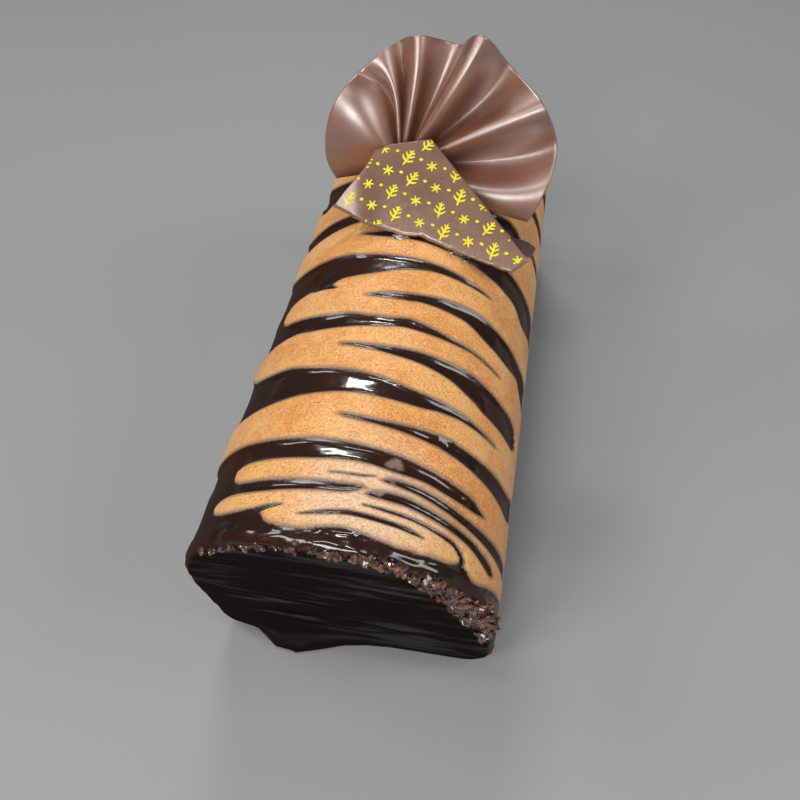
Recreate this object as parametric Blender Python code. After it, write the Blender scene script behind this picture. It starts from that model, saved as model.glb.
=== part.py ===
"""Yule log cake: a glazed roll with a chocolate fan, a printed chocolate plaque and a broken chip on top.

The cake lies along Y on its flat foot, its cut front end towards -Y, and the origin is the middle of the
flat foot. Everything below is worked out in millimetres and scaled to metres when a mesh is made.
"""

import math

import bmesh
import bpy
import numpy as np

MM = 0.001

# The roll: a gutter-mould section, half round above and upright below, with soft foot corners.
LOG_LENGTH = 194.0
LOG_RADIUS = 40.0
AXIS_HEIGHT = 38.0
FOOT_CORNER = 9.0
FACE_MIDDLE_HEIGHT = 36.0
FRONT_SET_BACK = 13.0  # the front face leans: its foot lies this far behind its top rim
FRONT_ROUND = 2.5
REAR_ROUND = 4.0
DRIP_AT_X, DRIP_HEIGHT, DRIP_REACH = -20.0, 9.0, 6.5
DRIP_WIDTHS = (6.0, 15.0)  # to its left and to its right
ROOF_STEPS, CORNER_STEPS, WALL_STEPS, FOOT_STEPS = 32, 3, 3, 5
LENGTH_STEPS = 18
FACE_RINGS = (0.82, 0.56, 0.28)

PIECE_GAP = 0.35  # clearance between pieces that touch

# The fan: one thin sheet of chocolate, gathered at a stem and pleated round it.
FAN_STEM = (-5.0, 36.0, 81.3)
FAN_LEAN = math.radians(28.0)
FAN_THICKNESS = 1.1
FAN_INNER = 3.0
FAN_STEPS_PER_PLEAT = 3
FAN_ROWS = 12
STEM_RADII = (5.5, 4.2, 4.2)
PLEAT_GROWTH = 1.5  # how fast the pleats open on the way out
FAN_STEM_THINNING = 0.5  # the sheet is this much thinner where it is gathered
FAN_FULL_FROM = 0.4  # share of the way out from which it has its whole thickness
# Each line of the sheet from the left end round to the right end:
# angle at the rim and reach, depth at the rim, extra depth half way out, sideways bow in degrees.
FAN_LINES = (
    (193.0, 23.5, -7.0, -1.0, 0.0),  # left end
    (178.5, 24.5, 0.0, 0.5, 0.0),
    (162.0, 24.5, 5.0, 2.5, 0.0),  # left lobe
    (144.5, 26.0, 8.5, 4.0, 0.0),
    (131.0, 27.5, 9.0, 4.5, -3.0),
    (123.0, 29.0, 6.5, 2.0, -10.0),
    (119.0, 30.0, 3.0, -5.0, -17.0),  # first valley
    (113.5, 31.0, 3.0, -2.0, -15.0),
    (106.5, 32.0, 4.0, 1.5, -9.5),  # first crest
    (99.5, 34.5, 2.0, 1.0, -4.5),
    (95.5, 36.0, -3.5, -3.5, -2.0),  # second valley
    (91.0, 37.0, 0.0, 0.5, -2.0),
    (85.5, 37.5, 4.5, 3.0, -3.0),  # second crest
    (81.0, 38.0, 2.5, 1.0, -3.0),
    (76.5, 38.0, -4.5, -3.0, -2.0),  # third valley
    (70.5, 38.5, -7.0, -4.0, 0.0),
    (65.5, 39.0, -6.0, -3.5, -1.0),
    (63.5, 41.0, 5.0, 2.5, -1.0),  # turned edge of the roll
    (61.0, 43.5, 9.5, 4.5, -2.0),  # third crest, rolled over
    (57.5, 44.5, 11.0, 5.5, -2.5),
    (53.0, 44.0, 5.0, 2.5, -3.5),
    (48.0, 43.0, -6.0, -6.0, -4.0),  # fourth valley
    (40.5, 43.5, -3.5, -4.0, -3.0),
    (34.5, 44.5, 1.0, 0.0, -1.0),  # shoulder
    (30.5, 45.5, 4.0, 1.5, 1.0),
    (25.5, 46.5, 8.5, 4.5, 1.0),  # fourth crest
    (20.5, 47.0, 5.0, 2.0, -1.0),
    (15.0, 47.5, -4.0, -5.5, -4.0),  # fifth valley
    (10.0, 47.5, -4.5, -6.5, -4.5),
    (5.0, 46.8, -2.0, -4.0, -4.5),
    (0.0, 46.0, 0.5, -0.5, -4.0),
    (-5.5, 44.8, 2.0, 2.0, -3.0),  # lower right lobe
    (-12.0, 43.5, 1.5, 3.0, -2.0),
    (-19.0, 42.5, -1.0, 3.0, -2.0),  # right end
)

# The plaque: a flat broken plate that stands on its lower edge and leans back on the fan.
PLAQUE_AT = (5.0, 9.0, 81.2)
PLAQUE_LEAN = math.radians(62.0)
PLAQUE_TURN = math.radians(8.0)
PLAQUE_THICKNESS = 1.5
PLAQUE_BEND_FROM = -8.0
PLAQUE_BEND = 0.014
PLAQUE_COLUMNS, PLAQUE_ROWS = 14, 8
# Its outline along and up the plate: the lower edge, the broken right end, the top edge, the left edge.
PLAQUE_LOWER = ((-26.0, 7.8), (-15.9, 0.5), (-5.6, -3.4), (0.2, -4.0), (11.7, -9.3), (26.3, -15.2))
PLAQUE_RIGHT = ((26.3, -15.2), (31.1, -11.6), (3.3, 27.0))
PLAQUE_TOP = ((-13.5, 23.6), (-8.5, 25.6), (3.3, 27.0))
PLAQUE_LEFT = ((-26.0, 7.8), (-22.4, 12.1), (-17.3, 17.6), (-13.5, 23.6))

# The chip: a small broken plate set on edge in the glaze behind the plaque's right end.
CHIP_THICKNESS = 1.1
CHIP_FOOT = ((42.0, 20.5), (24.5, 29.8))  # degrees round the roll and place along it, at the two ends
CHIP_HEIGHTS = (3.0, 3.4, 3.6, 3.0)
CHIP_TILT = 4.0  # how many degrees further up the roll its top edge lies
CHIP_LEAN = 0.5  # how far its top edge goes back
CHIP_FOOT_LIFT = 0.3
CHIP_ROWS = 3


def clear_scene():
    for old in list(bpy.data.objects):
        bpy.data.objects.remove(old, do_unlink=True)


def material(name, colour, roughness):
    made = bpy.data.materials.new(name)
    made.use_nodes = True
    shader = made.node_tree.nodes["Principled BSDF"]
    shader.inputs["Base Color"].default_value = (*colour, 1.0)
    shader.inputs["Roughness"].default_value = roughness
    shader.inputs["Metallic"].default_value = 0.0
    return made


def new_object(name, points, faces, finish, sharp_degrees=40.0):
    """A mesh object from points in millimetres and its faces, with the normals made to point out."""
    mesh = bpy.data.meshes.new(name)
    mesh.from_pydata((np.asarray(points) * MM).tolist(), [], faces)
    form = bmesh.new()
    form.from_mesh(mesh)
    bmesh.ops.recalc_face_normals(form, faces=form.faces)
    form.to_mesh(mesh)
    form.free()
    mesh.shade_smooth()
    mesh.set_sharp_from_angle(angle=math.radians(sharp_degrees))
    made = bpy.data.objects.new(name, mesh)
    made.data.materials.append(finish)
    bpy.context.scene.collection.objects.link(made)
    return made


def smooth_path(knots, steps):
    """Points on a cubic B-spline that runs close to the knots, with this many steps between each pair."""
    knots = np.asarray(knots, float)
    ends = np.vstack([2 * knots[0] - knots[1], knots, 2 * knots[-1] - knots[-2]])
    rows = []
    for i in range(1, len(ends) - 2):
        a, b, c, d = ends[i - 1 : i + 3]
        t = (np.arange(steps) / steps)[:, None]
        near = (4 - 6 * t**2 + 3 * t**3) * b + (1 + 3 * t + 3 * t**2 - 3 * t**3) * c
        rows.append(((1 - t) ** 3 * a + near + t**3 * d) / 6)
    return np.vstack([*rows, knots[-1:]])


def even_path(knots, count):
    """This many points spaced evenly along the straight runs between the knots."""
    knots = np.asarray(knots, float)
    along = np.concatenate([[0.0], np.cumsum(np.linalg.norm(np.diff(knots, axis=0), axis=1))])
    wanted = np.linspace(0.0, along[-1], count)
    return np.stack([np.interp(wanted, along, knots[:, k]) for k in range(knots.shape[1])], axis=1)


# --- the roll ---------------------------------------------------------------------------------------


def section():
    """The outline (x, z) of the roll, anticlockwise from the left foot corner along the foot."""
    reach = LOG_RADIUS - FOOT_CORNER
    foot = [(x, 0.0) for x in np.linspace(-reach, reach, FOOT_STEPS + 1)[:-1]]
    right_corner = [
        (reach + FOOT_CORNER * math.sin(t), FOOT_CORNER * (1 - math.cos(t)))
        for t in np.linspace(0, math.pi / 2, CORNER_STEPS + 1)[:-1]
    ]
    right_wall = [(LOG_RADIUS, z) for z in np.linspace(FOOT_CORNER, AXIS_HEIGHT, WALL_STEPS + 1)[:-1]]
    roof = [
        (LOG_RADIUS * math.cos(t), AXIS_HEIGHT + LOG_RADIUS * math.sin(t))
        for t in np.linspace(0, math.pi, ROOF_STEPS + 1)
    ]
    left_wall = [(-x, z) for x, z in reversed(right_wall)]
    left_corner = [(-x, z) for x, z in reversed(right_corner)][:-1]
    return np.array(foot + right_corner + right_wall + roof + left_wall + left_corner)


def shrunk(outline, share):
    middle = np.array([0.0, FACE_MIDDLE_HEIGHT])
    return middle + (outline - middle) * share


def front_y(outline):
    """How far along Y the leaning front face lies at each (x, z), with the glaze drip at its foot."""
    x, z = outline[:, 0], outline[:, 1]
    lean = FRONT_SET_BACK * (1.0 - z / (AXIS_HEIGHT + LOG_RADIUS))
    width = np.where(x < DRIP_AT_X, *DRIP_WIDTHS)
    drip = DRIP_REACH * np.exp(-(((x - DRIP_AT_X) / width) ** 2) - (z / DRIP_HEIGHT) ** 2)
    return -LOG_LENGTH / 2 + lean - drip


def ring(outline, y):
    return np.stack([outline[:, 0], np.broadcast_to(y, len(outline)), outline[:, 1]], axis=1)


def rounded_rim(outline, radius, turn):
    """The outline drawn in, and how far it comes back from the face, at this turn round the rim's curve."""
    return shrunk(outline, 1 - radius * (1 - math.sin(turn)) / LOG_RADIUS), radius * (1 - math.cos(turn))


def build_log(finish):
    outline = section()
    front, rear = front_y(outline), LOG_LENGTH / 2
    rings = []
    for share in reversed(FACE_RINGS):
        inner = shrunk(outline, share)
        rings.append(ring(inner, front_y(inner)))
    for turn in (0.0, math.pi / 4):
        drawn_in, back = rounded_rim(outline, FRONT_ROUND, turn)
        rings.append(ring(drawn_in, front + back))
    start, stop = front + FRONT_ROUND, rear - REAR_ROUND
    for share in np.linspace(0.0, 1.0, LENGTH_STEPS + 1):
        rings.append(ring(outline, start + (stop - start) * share))
    for turn in (math.pi / 4, 0.0):
        drawn_in, back = rounded_rim(outline, REAR_ROUND, turn)
        rings.append(ring(drawn_in, rear - back))
    for share in FACE_RINGS:
        rings.append(ring(shrunk(outline, share), rear))

    middle = np.array([[0.0, FACE_MIDDLE_HEIGHT]])
    points = np.vstack([*rings, ring(middle, front_y(middle)), ring(middle, rear)])
    around, last = len(outline), len(rings) - 1
    front_middle, rear_middle = len(points) - 2, len(points) - 1
    faces = []
    for i in range(last):
        for j in range(around):
            k = (j + 1) % around
            faces.append((i * around + j, i * around + k, (i + 1) * around + k, (i + 1) * around + j))
    for j in range(around):
        k = (j + 1) % around
        faces.append((front_middle, k, j))
        faces.append((rear_middle, last * around + j, last * around + k))
    return new_object("log", points, faces, finish)


# --- thin plates ------------------------------------------------------------------------------------


def plate(name, middle, thickness, finish):
    """A closed plate: the grid of points pushed half its thickness both ways along its own normals."""
    rows, columns, _ = middle.shape
    normal = np.cross(np.gradient(middle, axis=1), np.gradient(middle, axis=0))
    normal /= np.linalg.norm(normal, axis=2, keepdims=True)
    points = np.vstack([(middle + normal * side * thickness).reshape(-1, 3) for side in (0.5, -0.5)])
    back = rows * columns
    faces = []
    for i in range(rows - 1):
        for j in range(columns - 1):
            a = i * columns + j
            quad = (a, a + 1, a + columns + 1, a + columns)
            faces.append(quad)
            faces.append(tuple(back + k for k in reversed(quad)))
    edge = list(range(columns))
    edge += [i * columns + columns - 1 for i in range(1, rows)]
    edge += [(rows - 1) * columns + j for j in range(columns - 2, -1, -1)]
    edge += [i * columns for i in range(rows - 2, 0, -1)]
    for k, a in enumerate(edge):
        b = edge[(k + 1) % len(edge)]
        faces.append((b, a, back + a, back + b))
    return new_object(name, points, faces, finish)


def lift_off_log(points, clearance):
    """Pushes points that would lie in the roll's round top straight out of it, to this clearance."""
    x, z = points[..., 0], points[..., 2] - AXIS_HEIGHT
    distance = np.maximum(np.hypot(x, z), 1e-6)
    push = np.maximum(LOG_RADIUS + clearance, distance) / distance
    return np.stack([x * push, points[..., 1], AXIS_HEIGHT + z * push], axis=-1)


# --- the fan ----------------------------------------------------------------------------------------


def fan_surface():
    """Middle surface of the fan: each line runs from the stem out to the rim, deeper as it goes."""
    lines = smooth_path(FAN_LINES, FAN_STEPS_PER_PLEAT)
    angle, reach, depth, belly, bow = (lines[None, :, k] for k in range(5))
    inner = FAN_INNER / reach
    t = inner + (1 - inner) * np.linspace(0.0, 1.0, FAN_ROWS)[:, None] ** 1.15
    swell = 4 * t * (1 - t)
    turn = np.radians(angle + bow * swell)
    p, q = t * reach * np.cos(turn), t * reach * np.sin(turn)
    w = depth * t**PLEAT_GROWTH + belly * swell
    across, up = np.array([1.0, 0.0, 0.0]), np.array([0.0, math.sin(FAN_LEAN), math.cos(FAN_LEAN)])
    forward = np.array([0.0, -math.cos(FAN_LEAN), math.sin(FAN_LEAN)])
    points = np.array(FAN_STEM) + p[..., None] * across + q[..., None] * up + w[..., None] * forward
    return lift_off_log(points, PIECE_GAP + FAN_THICKNESS / 2)


def build_fan(finish):
    thin = FAN_STEM_THINNING * np.maximum(0.0, 1.0 - np.linspace(0.0, 1.0, FAN_ROWS) / FAN_FULL_FROM)
    fan = plate("fan", fan_surface(), FAN_THICKNESS * (1.0 - thin[:, None, None]), finish)
    stem = bmesh.new()
    bmesh.ops.create_uvsphere(stem, u_segments=16, v_segments=10, radius=1.0)
    for vertex in stem.verts:
        vertex.co = [(FAN_STEM[k] + STEM_RADII[k] * vertex.co[k]) * MM for k in range(3)]
    foot = (AXIS_HEIGHT + LOG_RADIUS + PIECE_GAP) * MM
    everything = [*stem.verts, *stem.edges, *stem.faces]
    cut = bmesh.ops.bisect_plane(
        stem, geom=everything, plane_co=(0, 0, foot), plane_no=(0, 0, -1), clear_outer=True
    )
    rim = [item for item in cut["geom_cut"] if isinstance(item, bmesh.types.BMEdge)]
    bmesh.ops.edgenet_fill(stem, edges=rim)
    bmesh.ops.recalc_face_normals(stem, faces=stem.faces)
    mesh = bpy.data.meshes.new("fan_stem")
    stem.to_mesh(mesh)
    stem.free()
    helper = bpy.data.objects.new("fan_stem", mesh)
    bpy.context.scene.collection.objects.link(helper)
    helper.hide_render = True
    helper.display_type = "WIRE"
    join = fan.modifiers.new("gathered stem", "BOOLEAN")
    join.operation = "UNION"
    join.use_self = True
    join.object = helper
    return fan


# --- the plaque and the chip ------------------------------------------------------------------------


def plaque_surface():
    """A Coons patch between the four outline edges, laid on the leaning plane and bent back at the left."""
    lower, top = even_path(PLAQUE_LOWER, PLAQUE_COLUMNS), even_path(PLAQUE_TOP, PLAQUE_COLUMNS)
    left, right = even_path(PLAQUE_LEFT, PLAQUE_ROWS), even_path(PLAQUE_RIGHT, PLAQUE_ROWS)
    right[1] = PLAQUE_RIGHT[1]
    u = np.linspace(0.0, 1.0, PLAQUE_COLUMNS)[None, :, None]
    v = np.linspace(0.0, 1.0, PLAQUE_ROWS)[:, None, None]
    sides = (1 - u) * left[:, None] + u * right[:, None]
    ends = (1 - v) * lower[None] + v * top[None]
    corners = (1 - v) * ((1 - u) * lower[0] + u * lower[-1]) + v * ((1 - u) * top[0] + u * top[-1])
    flat = sides + ends - corners
    lean, turn = PLAQUE_LEAN, PLAQUE_TURN
    level = math.cos(lean)
    normal = np.array([math.sin(turn) * level, -math.cos(turn) * level, math.sin(lean)])
    along = np.array([math.cos(turn), math.sin(turn), 0.0])
    up = np.cross(normal, along)
    bend = -PLAQUE_BEND * np.maximum(0.0, PLAQUE_BEND_FROM - flat[..., :1]) ** 2
    in_plane = np.array(PLAQUE_AT) + flat[..., :1] * along + flat[..., 1:] * up
    return in_plane + (bend - PLAQUE_THICKNESS / 2) * normal


def chip_surface():
    """A ruled strip from a foot line on the roll up to an uneven top edge that leans up the roll."""
    (angle_0, y_0), (angle_1, y_1) = CHIP_FOOT
    columns = len(CHIP_HEIGHTS)
    rise = np.linspace(0.0, 1.0, CHIP_ROWS)[:, None]
    turn = np.radians(np.linspace(angle_0, angle_1, columns)[None, :] + rise * CHIP_TILT)
    y = np.linspace(y_0, y_1, columns)[None, :]
    radius = LOG_RADIUS + PIECE_GAP + CHIP_FOOT_LIFT + rise * np.array(CHIP_HEIGHTS)[None, :]
    x, z = radius * np.cos(turn), AXIS_HEIGHT + radius * np.sin(turn)
    return np.stack([x, y + rise * CHIP_LEAN, z], axis=-1)


def main():
    clear_scene()
    glaze = material("caramel and cocoa glaze", (0.55, 0.28, 0.10), 0.45)
    fan_chocolate = material("satin milk chocolate", (0.16, 0.075, 0.045), 0.38)
    plaque_chocolate = material("glossy milk chocolate", (0.13, 0.065, 0.05), 0.25)
    dark_chocolate = material("dark chocolate", (0.045, 0.018, 0.011), 0.4)
    build_log(glaze)
    build_fan(fan_chocolate)
    plate("plaque", plaque_surface(), PLAQUE_THICKNESS, plaque_chocolate)
    plate("chip", chip_surface(), CHIP_THICKNESS, dark_chocolate)


main()
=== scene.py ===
"""Yule log cake: the glazed roll with its caramel stripes, chocolate fan, printed plaque and broken chip."""

# %% [markdown]
# A yule log cake is a sponge roll set in a gutter-shaped mould, sprayed and glazed, with chocolate pieces
# on top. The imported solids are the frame: every piece below is made around them, in metres, in the same
# place. The shapes are worked out in millimetres, as a pastry cook would measure them, and turned into
# metres when a mesh is made.

# %% The frame, and the tools
import itertools
import math

import bpy
import numpy as np
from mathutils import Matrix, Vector


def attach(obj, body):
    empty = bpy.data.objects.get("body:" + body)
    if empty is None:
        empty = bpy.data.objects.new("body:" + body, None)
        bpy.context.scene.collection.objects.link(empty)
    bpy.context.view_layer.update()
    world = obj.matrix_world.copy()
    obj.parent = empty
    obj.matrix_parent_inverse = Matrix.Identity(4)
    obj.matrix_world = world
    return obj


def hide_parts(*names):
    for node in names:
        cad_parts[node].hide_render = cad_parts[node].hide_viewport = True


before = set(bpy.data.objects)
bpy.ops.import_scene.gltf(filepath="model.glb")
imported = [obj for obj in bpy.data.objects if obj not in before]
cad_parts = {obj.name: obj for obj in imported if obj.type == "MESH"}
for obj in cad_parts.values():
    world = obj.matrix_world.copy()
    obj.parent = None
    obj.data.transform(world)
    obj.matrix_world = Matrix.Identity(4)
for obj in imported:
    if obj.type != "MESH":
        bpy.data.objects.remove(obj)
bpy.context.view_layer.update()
MM = 0.001
PIECE_GAP = 0.35  # clearance that the solids keep where pieces touch
print("solids:", sorted(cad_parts))

# %% [markdown]
# The camera looks down on the cake from above its cut end and a little from the right. Its place, its three
# turns and its lens fix the view, so it comes first: every later piece is judged through it.

# %% The camera
CAMERA_AT = (0.04019, -0.17637, 0.22223)
CAMERA_TURNS = (40.7356, 2.5325, 10.5578)  # degrees about X, Y and Z
CAMERA_LENS, SENSOR_WIDTH = 35.91, 36.0
CAMERA_SEES_FROM = 0.01


def in_scene(name, data):
    """A new object at the origin that shows this mesh, lamp or camera."""
    made = bpy.data.objects.new(name, data)
    bpy.context.scene.collection.objects.link(made)
    return made


def place_camera():
    """The camera at its place, with its turns changed from degrees into radians."""
    made = in_scene("camera", bpy.data.cameras.new("camera"))
    made.data.lens, made.data.sensor_width = CAMERA_LENS, SENSOR_WIDTH
    made.data.clip_start = CAMERA_SEES_FROM
    made.location = CAMERA_AT
    made.rotation_euler = [math.radians(turn) for turn in CAMERA_TURNS]
    bpy.context.scene.camera = made
    print("camera at", CAMERA_AT)


place_camera()

# %% [markdown]
# Cake surfaces are never quite even. Instead of sculpting, one noise function gives smooth lumps of any
# size: random heights sit on a lattice, and the heights between the lattice points are blended. Every
# rough or rippled surface below is a sum of such lumps, kept as a short table of heights and sizes.

# %% Smooth lumps
LATTICE = 4096
SCRAMBLE = (73856093, 19349663, 83492791)  # primes that scatter neighbouring corners over the random heights


def lumps(points, size, seed):
    """Noise from -1 to 1: a random height at each corner of a lattice of this size in mm, blended by 3t^2 - 2t^3."""
    heights = np.random.default_rng(seed).uniform(-1.0, 1.0, LATTICE)
    scaled = np.asarray(points, float) / size
    cell = np.floor(scaled).astype(np.int64)
    t = scaled - cell
    t = t * t * (3 - 2 * t)
    total = 0.0
    for corner in itertools.product((0, 1), repeat=3):
        i, j, k = (prime * (cell[..., axis] + corner[axis]) for axis, prime in enumerate(SCRAMBLE))
        share = np.prod([t[..., axis] if corner[axis] else 1 - t[..., axis] for axis in range(3)], axis=0)
        total = total + heights[(i ^ j ^ k) % LATTICE] * share
    return total


def mixed_lumps(points, kinds):
    """Several kinds of lumps added up; each kind is its height and size in mm, and its seed."""
    return sum(height * lumps(points, size, seed) for height, size, seed in kinds)


def ease(value, low, high):
    """0 below low, 1 above high and 3t^2 - 2t^3 between."""
    t = np.clip((value - low) / (high - low), 0.0, 1.0)
    return t * t * (3 - 2 * t)


sample = lumps(np.stack(np.mgrid[0:20, 0:20, 0:20], -1), 2.7, seed=1)
print(f"lumps run from {sample.min():.2f} to {sample.max():.2f}")


# %% Curves through and beside knots
def with_ends(knots):
    """The knots with one more at each end, as far beyond it as its neighbour is before it."""
    knots = np.asarray(knots, float)
    return np.vstack([2 * knots[0] - knots[1], knots, 2 * knots[-1] - knots[-2]])


def smooth_path(knots, steps):
    """Points on a Catmull-Rom curve through the knots, with this many steps between each pair."""
    ends = with_ends(knots)
    a, b, c, d = (ends[i : len(ends) - 3 + i, None, :] for i in range(4))
    t = (np.arange(steps) / steps)[None, :, None]
    bends = (2 * a - 5 * b + 4 * c - d) * t**2 + (3 * b - 3 * c + d - a) * t**3
    rows = 0.5 * (2 * b + (c - a) * t + bends)
    return np.vstack([rows.reshape(-1, ends.shape[1]), ends[-2:-1]])


def beside(knots, where):
    """The cubic B-spline that runs close to the knots, at these places, counted in knots from the first."""
    ends = with_ends(knots)
    first = np.clip(np.floor(where).astype(int), 0, len(ends) - 4)
    t = (where - first)[:, None]
    a, b, c, d = (ends[first + n] for n in range(4))
    near = (4 - 6 * t**2 + 3 * t**3) * b + (1 + 3 * t + 3 * t**2 - 3 * t**3) * c
    return ((1 - t) ** 3 * a + near + t**3 * d) / 6


print("halfway to its second knot a curve passes", smooth_path([(0, 0), (1, 2), (2, 0)], 2)[1].tolist())

# %% [markdown]
# Every piece is a set of points on a grid and the faces between them, both worked out as whole arrays.
# Blender's `foreach_set` takes such arrays at once, which is far quicker than adding points one by one.

# %% From arrays to a mesh
def grid_faces(rows, columns, closed=False):
    """The four-cornered faces of a grid of points; closed joins the last column to the first."""
    i, j = np.mgrid[0 : rows - 1, 0 : columns if closed else columns - 1]
    k = (j + 1) % columns
    corners = [i * columns + j, i * columns + k, (i + 1) * columns + k, (i + 1) * columns + j]
    return np.stack(corners, -1).reshape(-1, 4)


def closed_form(rings, columns):
    """The faces of a stack of rings; of two more points, one closes the first ring and one the last."""
    first = np.arange(columns)
    last = first + (rings - 1) * columns
    caps = [
        np.stack([np.full(columns, rings * columns), first, np.roll(first, -1)], -1),
        np.stack([np.full(columns, rings * columns + 1), np.roll(last, -1), last], -1),
    ]
    return [grid_faces(rings, columns, closed=True)[:, ::-1], np.vstack(caps)]


def put_piece(name, points, faces, finish, values=None, sharp=None):
    """A piece from points in mm and lists of faces, with a value per point for each named attribute. Edges that
    turn by more than sharp degrees keep their crease."""
    points = np.asarray(points, float).reshape(-1, 3)
    mesh = bpy.data.meshes.new(name)
    mesh.vertices.add(len(points))
    mesh.vertices.foreach_set("co", (points * MM).ravel())
    sizes = np.concatenate([np.full(len(f), f.shape[1]) for f in faces])
    starts = np.concatenate([[0], np.cumsum(sizes)[:-1]])
    corners = np.concatenate([f.ravel() for f in faces])
    mesh.loops.add(len(corners))
    mesh.loops.foreach_set("vertex_index", corners)
    mesh.polygons.add(len(sizes))
    mesh.polygons.foreach_set("loop_start", starts)
    mesh.polygons.foreach_set("loop_total", sizes)
    mesh.update(calc_edges=True)
    mesh.shade_smooth()
    if sharp is not None:
        mesh.set_sharp_from_angle(angle=math.radians(sharp))
    for key, value in (values or {}).items():
        layer = mesh.attributes.new(key, "FLOAT", "POINT")
        layer.data.foreach_set("value", np.asarray(value, float).ravel())
    mesh.validate()
    mesh.materials.append(finish)
    made = in_scene(name, mesh)
    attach(made, "root")
    print(f"{name}: {int((sizes - 2).sum())} triangles")
    return made


print("a grid of 3 by 4 points has", len(grid_faces(3, 4)), "faces")

# %% [markdown]
# A material is a chain of nodes. Wrapping a node's output in a small class lets the sums be written as
# plain Python: `1 - mask` adds a Math node. Colours are never summed that way, because a Math node would
# turn them grey; they are mixed instead.

# %% Shader sums as Python
class Wire:
    """A node's output in a finish; +, - and * on it add Math nodes."""

    def __init__(self, finish, socket):
        self.finish, self.socket = finish, socket

    def _sum(self, operation, first, second):
        return self.finish.node("ShaderNodeMath", {"operation": operation}, {0: first, 1: second})

    def __add__(self, other):
        return self._sum("ADD", self, other)

    def __radd__(self, other):
        return self._sum("ADD", other, self)

    def __sub__(self, other):
        return self._sum("SUBTRACT", self, other)

    def __rsub__(self, other):
        return self._sum("SUBTRACT", other, self)

    def __mul__(self, other):
        return self._sum("MULTIPLY", self, other)

    def __rmul__(self, other):
        return self._sum("MULTIPLY", other, self)


class Finish:
    """A material and the ways to add nodes to it."""

    def __init__(self, name, **constants):
        self.material = bpy.data.materials.new(name)
        self.material.use_nodes = True
        self.tree = self.material.node_tree
        self.shader = self.tree.nodes["Principled BSDF"]
        for key, value in constants.items():
            self.shader.inputs[key.replace("_", " ")].default_value = value
        self.place = self.node("ShaderNodeTexCoord", take="Object")

    def node(self, kind, settings=None, values=None, take=0):
        """A node: its settings first, then the values or links of its sockets; gives the output to take."""
        made = self.tree.nodes.new(kind)
        for key, value in (settings or {}).items():
            setattr(made, key, value)
        for key, value in (values or {}).items():
            self.plug(made.inputs[key], value)
        return Wire(self, made.outputs[take])

    def plug(self, socket, value):
        """Links a wire to the socket, or sets a constant there; a colour gets its fourth value, 1."""
        if isinstance(value, Wire):
            self.tree.links.new(value.socket, socket)
        elif hasattr(value, "__len__") and socket.type == "RGBA":
            socket.default_value = (*value, 1.0)
        else:
            socket.default_value = value

    def set(self, **values):
        """What changes over the surface, by the shader's own socket names."""
        for key, value in values.items():
            self.plug(self.shader.inputs[key.replace("_", " ")], value)
        return self.material

    def dull(self, share, colour):
        """Mixes in this share of a second shader that has the same colour and no gloss at all."""
        plain = self.node("ShaderNodeBsdfPrincipled", None, {"Base Color": colour, "Specular IOR Level": 0.0})
        glossy = Wire(self, self.shader.outputs[0])
        mixed = self.node("ShaderNodeMixShader", None, {0: share, 1: glossy, 2: plain})
        self.plug(self.tree.nodes["Material Output"].inputs["Surface"], mixed)

    def value(self, name):
        """A number kept at each point of the mesh."""
        return self.node("ShaderNodeAttribute", {"attribute_name": name}, take="Fac")

    def noise(self, size, detail=2.0, roughness=0.5, place=None, distortion=0.0):
        """Cloudy noise from 0 to 1 with lumps of about this size in mm."""
        values = {"Scale": 1.0 / (size * MM), "Detail": detail, "Roughness": roughness, "Distortion": distortion}
        return self.node("ShaderNodeTexNoise", None, {"Vector": place or self.place, **values}, "Fac")

    def stretched(self, x, y, z):
        """The place with each axis scaled, so that noise runs longer along an axis with a small number."""
        return self.node("ShaderNodeMapping", None, {"Vector": self.place, "Scale": (x, y, z)})

    def ease(self, value, low, high):
        """0 at low, 1 at high, smooth between."""
        steps = {"Value": value, "From Min": low, "From Max": high}
        return self.node("ShaderNodeMapRange", {"interpolation_type": "SMOOTHSTEP"}, steps)

    def blend(self, mask, first, second):
        """The first colour where mask is 0 and the second where it is 1, through a Mix node's colour sockets."""
        return self.node("ShaderNodeMix", {"data_type": "RGBA"}, {0: mask, 6: first, 7: second}, 2)

    def relief(self, height, distance, under=None):
        """A bump this many mm high over the given normal."""
        values = {"Height": height, "Distance": distance * MM, "Strength": 1.0}
        if under is not None:
            values["Normal"] = under
        return self.node("ShaderNodeBump", None, values, "Normal")


def srgb(red, green, blue):
    """A colour as it looks on screen, 0 to 255, turned into the linear values that light needs."""
    shares = np.array([red, green, blue]) / 255.0
    return tuple(np.where(shares <= 0.04045, shares / 12.92, ((shares + 0.055) / 1.055) ** 2.4).tolist())


print(f"the middle grey of a screen is {srgb(128, 128, 128)[0]:.3f} in linear light")

# %% [markdown]
# The roll's section is an upside-down U: a half circle over upright sides, with soft corners at the foot.
# Walking round it needs one number. Here that is the turn in degrees: 0 to 180 is the half circle, from
# right to left, and past its ends the same degrees go on as length down the sides and round the corners.

# %% The section of the roll
LOG_LENGTH = 194.0
STRIPES_FROM = -95.0  # the distances of the stripes are counted back from this Y
LOG_RADIUS = 40.0
AXIS_HEIGHT = 38.0
FOOT_CORNER = 9.0
FACE_MIDDLE_HEIGHT = 36.0
FRONT_SET_BACK = 13.0  # the foot of the cut end lies this far behind its top
FRONT_ROUND = 2.5
REAR_ROUND = 4.0
DRIP_AT_X, DRIP_HEIGHT, DRIP_REACH = -20.0, 9.0, 6.5
DRIP_WIDTHS = (6.0, 15.0)  # to its left and right
WALL = AXIS_HEIGHT - FOOT_CORNER  # height of the straight side
MM_PER_DEGREE = LOG_RADIUS * math.pi / 180
TURN_BEYOND = (WALL + FOOT_CORNER * math.pi / 2) / MM_PER_DEGREE  # from the roof's end to the foot


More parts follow.
